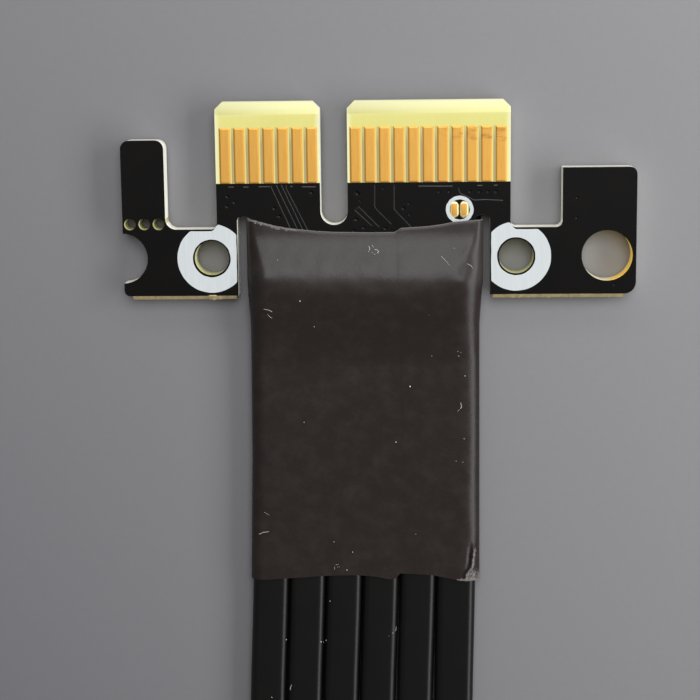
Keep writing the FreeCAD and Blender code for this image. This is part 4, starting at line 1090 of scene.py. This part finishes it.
class RISER_OT_boards(bpy.types.Operator):
    """Dresses the two printed circuit boards: masked faces with vias, bare tabs, cut sides"""

    bl_idname = "riser.boards"
    bl_label = "Circuit Boards"

    def execute(self, context):
        for node in ("circuit_board", "socket_board"):
            made = solid_copy(node)
            for face in made.faces:
                face.material_index = self.kind_of(face, node == "circuit_board")
            board = built(made, node + "_laminate", *BOARD_FINISHES)
            if node == "circuit_board":
                self.sink_vias(board)
            rounded_edges(board, 0.00002)
            hand_over(board, "solder_mask", node)
        return {"FINISHED"}

    def kind_of(self, face, plug_board):
        """Index of the finish of a face."""
        middle = (face.calc_center_median() - PLUG) / MM
        height = face.calc_center_median().z / MM
        level = abs(face.normal.z)
        if plug_board and middle.y < BOARD_BACK - 0.01 and abs(middle.x) > 8.0:
            return SNAPPED
        past = max(height - LAMINATE_TOP, LAMINATE_LOW - height)
        if level > 0.5:
            return MASKED if past > 0.005 else BARE
        if past > 0.001:
            return MASKED
        if not plug_board:
            return ROUTED
        for (x, y, reach), place, kind in (
            (POST_HOLE, middle.x, POST), (SCREW_HOLE, abs(middle.x), DRILLED),
        ):
            if math.hypot(place - x, middle.y - y) < reach:
                return kind
        x, y, reach = PERFORATIONS
        if abs(middle.y - y) < reach and middle.x < x:
            return DRILLED
        bevelled = middle.y > MASK_EDGE and abs(face.normal.y) > 0.9 and level > 0.1
        return BARE if bevelled else ROUTED

    def sink_vias(self, board):
        """Sinks the dimple of each tented via into the mask."""
        turns = [math.radians(18 * i) for i in range(20)]
        rings = [
            [(reach * math.cos(turn), reach * math.sin(turn), height) for turn in turns]
            for reach, height in DIMPLE
        ]
        pattern = built(lofted(rings), "via_pattern")
        spots = [(plug(x, y, MASK_TOP), share) for x, y, share in VIAS]
        dimples = scattered("via_dimples", pattern, spots, sizes().via_radius, 7, cupped_mask_ink)
        board.data.materials.append(use(cupped_mask_ink))
        cut = board.modifiers.new("Vias", "BOOLEAN")
        cut.operation = "DIFFERENCE"
        cut.solver = "EXACT"
        cut.material_mode = "TRANSFER"
        cut.object = dimples
        settle(board)
        bpy.data.objects.remove(dimples)


# each snapped web: left, right and the seed of its break
WEBS = {"snapped_web_left": (-16.15, -8.87, 3.0), "snapped_web_right": (9.0, 17.95, 11.0)}
WEB_REACH = 0.31
WEB_STEP = 0.07


class RISER_OT_snapped_webs(bpy.types.Operator):
    """Adds the ragged glass bundles that the snapped score leaves behind each ear"""

    bl_idname = "riser.snapped_webs"
    bl_label = "Snapped Webs"

    def execute(self, context):
        for name, (left, right, seed) in WEBS.items():
            rings = []
            count = int((right - left) / WEB_STEP)
            for i in range(count + 1):
                x = left + (right - left) * i / count
                ends = min(1.0, 4.0 * min(i, count - i) / count)
                coarse = noise_at(x * 0.9, seed, 0.0)
                fine = noise_at(x * 4.5, seed, 5.0)
                reach = WEB_REACH + 0.09 * coarse + 0.06 * fine
                reach = 0.05 + (reach - 0.05) * smooth_step(ends, 0.0, 0.25)
                middle = (LAMINATE_TOP + LAMINATE_LOW) / 2 + 0.08 * coarse
                # how far out, and half as thick as the web is there
                section = (
                    (-0.06, 0.74), (0.02, 0.735), (reach * 0.45, 0.5), (reach * 0.85, 0.3),
                    (reach, 0.16 + 0.08 * fine),
                )
                rings.append(
                    [plug(x, BOARD_BACK - out, middle + half) for out, half in section]
                    + [plug(x, BOARD_BACK - out, middle - half) for out, half in reversed(section)]
                )
            piece = built(lofted(rings), name, snapped_glass_epoxy)
            soften(piece.data, 50.0)
            hand_over(piece, "solder_mask")
        return {"FINISHED"}


def burnish_shoulders(piece):
    """Gives a plated piece's sloping faces their brighter finish, a painted highlight."""
    piece.data.materials.append(use(burnished_gold_edge))
    for face in piece.data.polygons:
        if abs(face.normal.z) < 0.999:
            face.material_index = 1


class RISER_OT_contacts(bpy.types.Operator):
    """Repeats the gold-plated card edge contacts on both faces of the two tabs"""

    bl_idname = "riser.contacts"
    bl_label = "Card Edge Contacts"

    def execute(self, context):
        size = sizes()
        shoulder = size.contact_shoulder / MM
        rings = []
        for height, inset in (
            (0.0, 0.0), (0.008, 0.004), (0.04, 0.8 * shoulder), (0.044, 0.94 * shoulder),
            (PLATING, shoulder),
        ):
            plan = rounded_plan(
                size.contact_width / MM, CONTACT_LENGTH, CONTACT_CORNERS, inset,
            )
            rings.append([Vector((x, y, height)) * MM for x, y in plan])
        pattern = built(lofted(rings), "contact_pattern")
        soften(pattern.data, 25.0)
        flatten_planes(pattern.data)
        for side, z, turn in (("front", LAMINATE_TOP, 0.0), ("back", LAMINATE_LOW, math.pi)):
            for tab, first, count, way in CONTACT_ROWS:
                node = f"contacts_{side}_{tab}"
                row = run_tree(
                    show(node + "_plated", bpy.data.meshes.new(node)), row_of_copies, {
                        "Pattern": pattern,
                        "Count": count,
                        "First": plug(first, (CONTACT_TOP + CONTACT_END) / 2, z),
                        "Step": (way * size.contact_pitch, 0.0, 0.0),
                        "Turn": (0.0, turn, 0.0),
                        "Finish": use(hard_gold_plate),
                    },
                )
                burnish_shoulders(row)
                hand_over(row, "gold_plating", node)
        bpy.data.objects.remove(pattern)
        return {"FINISHED"}


class RISER_OT_test_pads(bpy.types.Operator):
    """Makes the pair of domed test pads inside their printed ring"""

    bl_idname = "riser.test_pads"
    bl_label = "Test Pads"

    def execute(self, context):
        made = bmesh.new()
        for middle in TEST_PADS:
            rings = []
            for height, inset in ((0.0, 0.0), (0.02, 0.004), (0.036, 0.03), (PLATING, 0.09)):
                rings.append([
                    plug(middle + x, TEST_PAD_Y + y, LAMINATE_TOP + height)
                    for x, y in rounded_plan(*TEST_PAD_SIZE, (TEST_PAD_CORNER,) * 4, inset, 8)
                ])
            pad = finished_mesh(lofted(rings))
            made.from_mesh(pad)
            bpy.data.meshes.remove(pad)
        pads = built(made, "test_pads_plated", hard_gold_plate)
        burnish_shoulders(pads)
        soften(pads.data, 40.0)
        hand_over(pads, "gold_plating", "test_pads")
        return {"FINISHED"}


PRINT_HEIGHT = 0.02
RING_POINTS = 120


class RISER_OT_printed_rings(bpy.types.Operator):
    """Prints the white rings round the screw holes and the test pads, cut off at the edge"""

    bl_idname = "riser.printed_rings"
    bl_label = "Printed Rings"

    def execute(self, context):
        made = bmesh.new()
        for x, y, side in SCREW_RINGS:
            self.ring(made, x, y, *SCREW_RING_REACH, side)
        self.ring(made, *TEST_RING, *TEST_RING_REACH, None)
        rings = built(made, "printed_rings_epoxy", screen_printed_epoxy)
        soften(rings.data, 40.0)
        hand_over(rings, "screen_print", "printed_rings")
        return {"FINISHED"}

    def ring(self, made, x, y, inner, outer, side):
        """A flat ring with slightly ragged edges, cut off at a side and at the board's edge."""
        loops = [[], [], [], []]
        low, high = MASK_TOP, MASK_TOP + PRINT_HEIGHT
        for i in range(RING_POINTS):
            angle = 2 * math.pi * i / RING_POINTS
            ragged = 0.02 * noise_at(4 * math.cos(angle) + x, 4 * math.sin(angle), y)
            (edge_x, edge_y), (hole_x, hole_y) = (
                (x + (reach + ragged) * math.cos(angle), y + (reach + ragged) * math.sin(angle))
                for reach in (outer, inner)
            )
            if side is not None:
                away = 1 if side > 0 else -1
                edge_x = away * max(away * edge_x, away * side + ragged)
                limit = RING_TOP + 0.5 * (1 - smooth_step(away * edge_x, 10.0, 10.55))
                edge_y = min(edge_y, limit + ragged)
            for loop, point in zip(loops, (
                (edge_x, edge_y, low), (edge_x, edge_y, high), (hole_x, hole_y, high),
                (hole_x, hole_y, low),
            )):
                loop.append(made.verts.new(plug(*point)))
        for here, there in zip(loops, loops[1:] + loops[:1]):
            bridge(made, here, there)
        bmesh.ops.recalc_face_normals(made, faces=made.faces)


class RISER_OT_tracks(bpy.types.Operator):
    """Raises the copper tracks that show through the solder mask"""

    bl_idname = "riser.tracks"
    bl_label = "Covered Tracks"

    def execute(self, context):
        runs = []
        for width, relief, corners in TRACKS:
            # the strip's upper part stands out of the mask
            sunk = STRIP_HEIGHT / 2 * width - relief * sizes().track_relief
            places = [plug(x, y, MASK_TOP - sunk) for x, y in corners]
            runs.append((places, [width] * len(corners)))
        strips("covered_tracks", runs, 0.0003, mask_ink_over_copper, "solder_mask")
        return {"FINISHED"}


# ---- Shrunk tubes ---------------------------------------------------------------------------


def arc(x, z, reach, rise, degrees, upper):
    """Points of a section's corner, as X, Z and whether the upper side holds them."""
    return [
        (x + reach * math.cos(math.radians(turn)), z + rise * math.sin(math.radians(turn)), upper)
        for turn in degrees
    ]


class RISER_OT_tubes(bpy.types.Operator):
    """Shrinks the flat tube over each board's tongue, its soldered wires and the cables"""

    bl_idname = "riser.tubes"
    bl_label = "Shrunk Tubes"

    def execute(self, context):
        for node, place, front, rear, seed, folded in (
            ("plug_shrink_sleeve", plug, PLUG_FRONT_EDGE, PLUG_REAR_EDGE, PLUG_TUBE_SEED, True),
            (
                "socket_shrink_sleeve", socket, SOCKET_FRONT_EDGE, SOCKET_REAR_EDGE,
                SOCKET_TUBE_SEED, False,
            ),
        ):
            self.tube(node, place, front, rear, seed, folded)
        return {"FINISHED"}

    def tube(self, node, place, front, rear, seed, folded):
        across = self.across(folded)
        rings, stretches, tears = [], [], []
        # rings along the tube, closer together at its mouths
        shares = [0.0, 0.0022, 0.005, 0.009, 0.014] + [0.02 + 0.974 * i / 150 for i in range(151)]
        for share in shares + [0.997, 1.0]:
            section = tube_section(TUBE_MOUTH + (SLEEVE_END - TUBE_MOUTH) * share)
            top = section[2]
            ring = []
            for x, z, upper in self.outline(*section, across):
                start, end = along(front, x), along(rear, x)
                if not upper:
                    start = -8.05 - 0.9 * (1 - (x / 8.3) ** 2)
                    end = -34.0 + 0.4 * (1 - (x / 8.4) ** 2)
                elif folded and x < -4.2:
                    start += 0.05 * noise_at(x * 6, 0.0, seed)
                y = start + (end - start) * share
                if upper:
                    rise = tube_section(y)[2] - top + tube_relief(x, y, seed, folded)
                    z += rise * smooth_step(z, 0.5 * top, top)
                    z -= 0.05 * ridge_at(start - y, 0.07)
                ring.append(place(x, y, z))
                # painted sheen: high over the board and its joints, where the top faces the light,
                # and low on the left, which is painted darker as shade
                pulled = 1 - smooth_step(-y + 0.25 * noise_at(x, y, seed), 10.6, 14.2)
                stretches.append(pulled * (0.1 + 0.9 * smooth_step(x, -8.0, -5.6)))
                off = x - pinch(y)
                # paler line on the pinched ridge's right flank: stress whitening and a painted
                # highlight
                creased = smooth_step(-y, 31.3, 31.9) * ridge_at(off - 0.08, 0.11)
                frayed = 0.6 * smooth_step(-y, 32.7, 33.9) * smooth_step(off, -0.25, 0.2)
                tears.append(max(creased, frayed) if folded and upper else 0.0)
            rings.append(ring)
        skin = lofted(rings, capped=False)
        self.mark_torn_edges(skin, place, front, rear, seed, folded)
        tube = built(skin, node + "_skin", polyolefin_tube, cut_tube_edge)
        mark(tube.data, "drawn", stretches)
        mark(tube.data, "torn", tears)
        wall = tube.modifiers.new("Tube Wall", "SOLIDIFY")
        wall.thickness = sizes().tube_wall
        wall.offset = -1.0
        wall.material_offset_rim = 1
        settle(tube)
        soften(tube.data, 50.0)
        hand_over(tube, "shrink_tube", node)

    def mark_torn_edges(self, skin, place, front, rear, seed, folded):
        """Gives the frayed rims their pale finish: thin all round, wider where it is torn."""
        origin = place(0.0, 0.0)
        way = 1 if place is plug else -1
        for face in skin.faces:
            middle = (face.calc_center_median() - origin) / MM
            x, y = way * middle.x, way * middle.y
            if middle.z < 0.8:
                continue
            grain = noise_at(x * 5, y * 5, seed)
            torn = 0.07 + 0.03 * grain
            tail = 0.02
            if folded and x < -4.4:
                torn += (0.08 + 0.12 * grain) * smooth_step(-x, 4.4, 5.2)
            if folded and x > 6.2:
                tail += (0.14 + 0.2 * grain) * smooth_step(x, 6.2, 7.2)
            if along(front, x) - y < torn or y - along(rear, x) < tail:
                face.material_index = 1

    def across(self, folded):
        """Places across the flat top as shares, closer at the fold and the pinched corner."""
        half = 7.5
        places, x = [], -half
        while x < half:
            places.append(x)
            fine = folded and (1.9 < x < 3.2 or x > 6.7)
            x += 0.055 if fine else 0.125
        return [place / half for place in places] + [1.0]

    def outline(self, left, right, top, reaches, drop, across):
        """The section's points as X, Z and whether the upper side holds them."""
        low = TUBE_LOW_CORNER
        reach_left, reach_right = reaches
        middle = (left + reach_left + right - reach_right) / 2
        half = (right - reach_right - left - reach_left) / 2
        return [
            *[(left + low + (right - left - 2 * low) * i / 21, 0.0, False) for i in range(22)],
            *arc(right - low, low, low, low, [-90 + 18 * i for i in range(1, 6)], False),
            *arc(right - reach_right, top - drop, reach_right, drop, range(0, 91, 6), True),
            *[(middle + half * share, top, True) for share in reversed(across[1:-1])],
            *arc(
                left + reach_left, top - drop, reach_left, drop,
                [90 + 90 * i / 11 for i in range(12)], True,
            ),
            *arc(left + low, low, low, low, range(180, 253, 18), False),
        ]


# ---- Socket and cables ----------------------------------------------------------------------


class RISER_OT_socket(bpy.types.Operator):
    """Dresses the card socket: its moulded housing and two rows of sprung contacts"""

    bl_idname = "riser.socket"
    bl_label = "Card Socket"

    def execute(self, context):
        for node, ending, describe, edge, slot in (
            ("socket_housing", "_moulding", moulded_nylon, 0.00005, "socket_plastic"),
            ("socket_contacts_row_a", "_strip", gold_flashed_bronze, 0.00003, "gold_plating"),
            ("socket_contacts_row_b", "_strip", gold_flashed_bronze, 0.00003, "gold_plating"),
        ):
            piece = built(solid_copy(node), node + ending, describe)
            rounded_edges(piece, edge)
            hand_over(piece, slot, node)
        return {"FINISHED"}


class RISER_OT_cables(bpy.types.Operator):
    """Lays the six flat twin-axial cables between the two sleeves"""

    bl_idname = "riser.cables"
    bl_label = "Flat Cables"

    def execute(self, context):
        for node, points in ROUTES.items():
            route = bpy.data.curves.new(node + "_route", "CURVE")
            route.dimensions = "3D"
            spline = route.splines.new("NURBS")
            spline.points.add(len(points) - 1)
            for knot, point in zip(spline.points, points):
                knot.co = (*plug(*point), 1.0)
            spline.order_u = 3
            spline.use_endpoint_u = True
            spline.resolution_u = 24
            cable = show(node + "_jacket", route)
            graph = context.evaluated_depsgraph_get()
            line = bpy.data.meshes.new_from_object(cable.evaluated_get(graph), depsgraph=graph)
            bpy.data.meshes.remove(line)
            cable = run_tree(cable, flat_cable, {
                "Width": sizes().cable_width * SPREAD.get(node, 1.0),
                "Thickness": sizes().cable_thickness,
                "Edge": sizes().cable_edge,
                "Finish": use(extruded_jacket),
            })
            soften(cable.data, 40.0)
            hand_over(cable, "cable_jacket", node)
        return {"FINISHED"}


# ---- Dust -----------------------------------------------------------------------------------

# specks drawn coarser than they are, so that they show
SPECK_GROWTH = 1.35


class RISER_OT_dust(bpy.types.Operator):
    """Drops specks of dust, lint and light scratches on the plug end's tube and cables"""

    bl_idname = "riser.dust"
    bl_label = "Dust and Lint"

    def execute(self, context):
        made = bmesh.new()
        bmesh.ops.create_icosphere(made, subdivisions=1, radius=0.5)
        for vertex in made.verts:
            vertex.co *= 0.8 + 0.5 * noise.noise(vertex.co * 5)
            vertex.co.z *= 0.5
        pattern = built(made, "speck_pattern")
        spots = [(self.on_top(x, y), SPECK_GROWTH * size) for x, y, size in SPECKS]
        specks = scattered("dust_specks", pattern, spots, MM, 5, cotton_dust)
        soften(specks.data, 60.0)
        hand_over(specks, "cable_jacket")
        runs = []
        for width, run in FIBRES:
            # thinner at both ends
            widths = [0.6 * width, *[width] * (len(run) - 2), 0.6 * width]
            runs.append(([self.on_top(x, y) for x, y in run], widths))
        strips("lint_fibres", runs, 0.0002, cotton_dust, "cable_jacket")
        return {"FINISHED"}

    def on_top(self, x, y):
        """A point on the tube, or on the cables behind it."""
        if y > SLEEVE_END + 0.4:
            return plug(x, y, plug_tube_height(x, y) + 0.01)
        hits = []
        for name in ROUTES:
            cable = bpy.data.objects[name + "_jacket"]
            found, place, _, _ = cable.ray_cast(plug(x, y, 5.0), Vector((0.0, 0.0, -1.0)))
            if found:
                hits.append(place.copy())
        return max(hits, key=lambda place: place.z, default=plug(x, y, 1.3))


# ---- Wires and pads -------------------------------------------------------------------------

PLAIN_FINISHES = {
    tinned_copper: (
        "plug_wire_pads", "plug_soldered_wire_ends", "plug_drain_wires", "socket_pads",
        "socket_wire_pads", "socket_soldered_wire_ends", "socket_drain_wires",
    ),
    wrapped_foil: ("plug_cable_cores", "socket_cable_cores"),
}


class RISER_OT_plain_finishes(bpy.types.Operator):
    """Gives the solids that keep their own shape their finishes"""

    bl_idname = "riser.plain_finishes"
    bl_label = "Wires and Pads"

    def execute(self, context):
        for describe, names in PLAIN_FINISHES.items():
            for name in names:
                node = frame["nodes"][name]
                node.data.materials.clear()
                node.data.materials.append(use(describe))
        return {"FINISHED"}


# ---- Panel and script -----------------------------------------------------------------------

STEPS = (
    RISER_OT_stage,
    RISER_OT_boards,
    RISER_OT_snapped_webs,
    RISER_OT_contacts,
    RISER_OT_test_pads,
    RISER_OT_printed_rings,
    RISER_OT_tracks,
    RISER_OT_tubes,
    RISER_OT_socket,
    RISER_OT_cables,
    RISER_OT_dust,
    RISER_OT_plain_finishes,
)


class RISER_PT_panel(bpy.types.Panel):
    """Lists the card's sizes, colours and pieces"""

    bl_idname = "RISER_PT_panel"
    bl_label = "Riser Card"
    bl_space_type = "VIEW_3D"
    bl_region_type = "UI"
    bl_category = "Riser Card"

    def draw(self, context):
        layout = self.layout
        for group in (context.scene.riser_sizes, context.scene.riser_colours):
            for name in group.__annotations__:
                layout.prop(group, name)
        for step in STEPS:
            layout.operator(step.bl_idname)


CLASSES = (RISER_PG_sizes, RISER_PG_colours, *STEPS, RISER_PT_panel)


def register():
    for kind in CLASSES:
        bpy.utils.register_class(kind)
    bpy.types.Scene.riser_sizes = bpy.props.PointerProperty(type=RISER_PG_sizes)
    bpy.types.Scene.riser_colours = bpy.props.PointerProperty(type=RISER_PG_colours)


def unregister():
    del bpy.types.Scene.riser_colours
    del bpy.types.Scene.riser_sizes
    for kind in reversed(CLASSES):
        bpy.utils.unregister_class(kind)


def main():
    register()
    for step in STEPS:
        family, name = step.bl_idname.split(".")
        getattr(getattr(bpy.ops, family), name)()


if __name__ == "__main__":
    main()
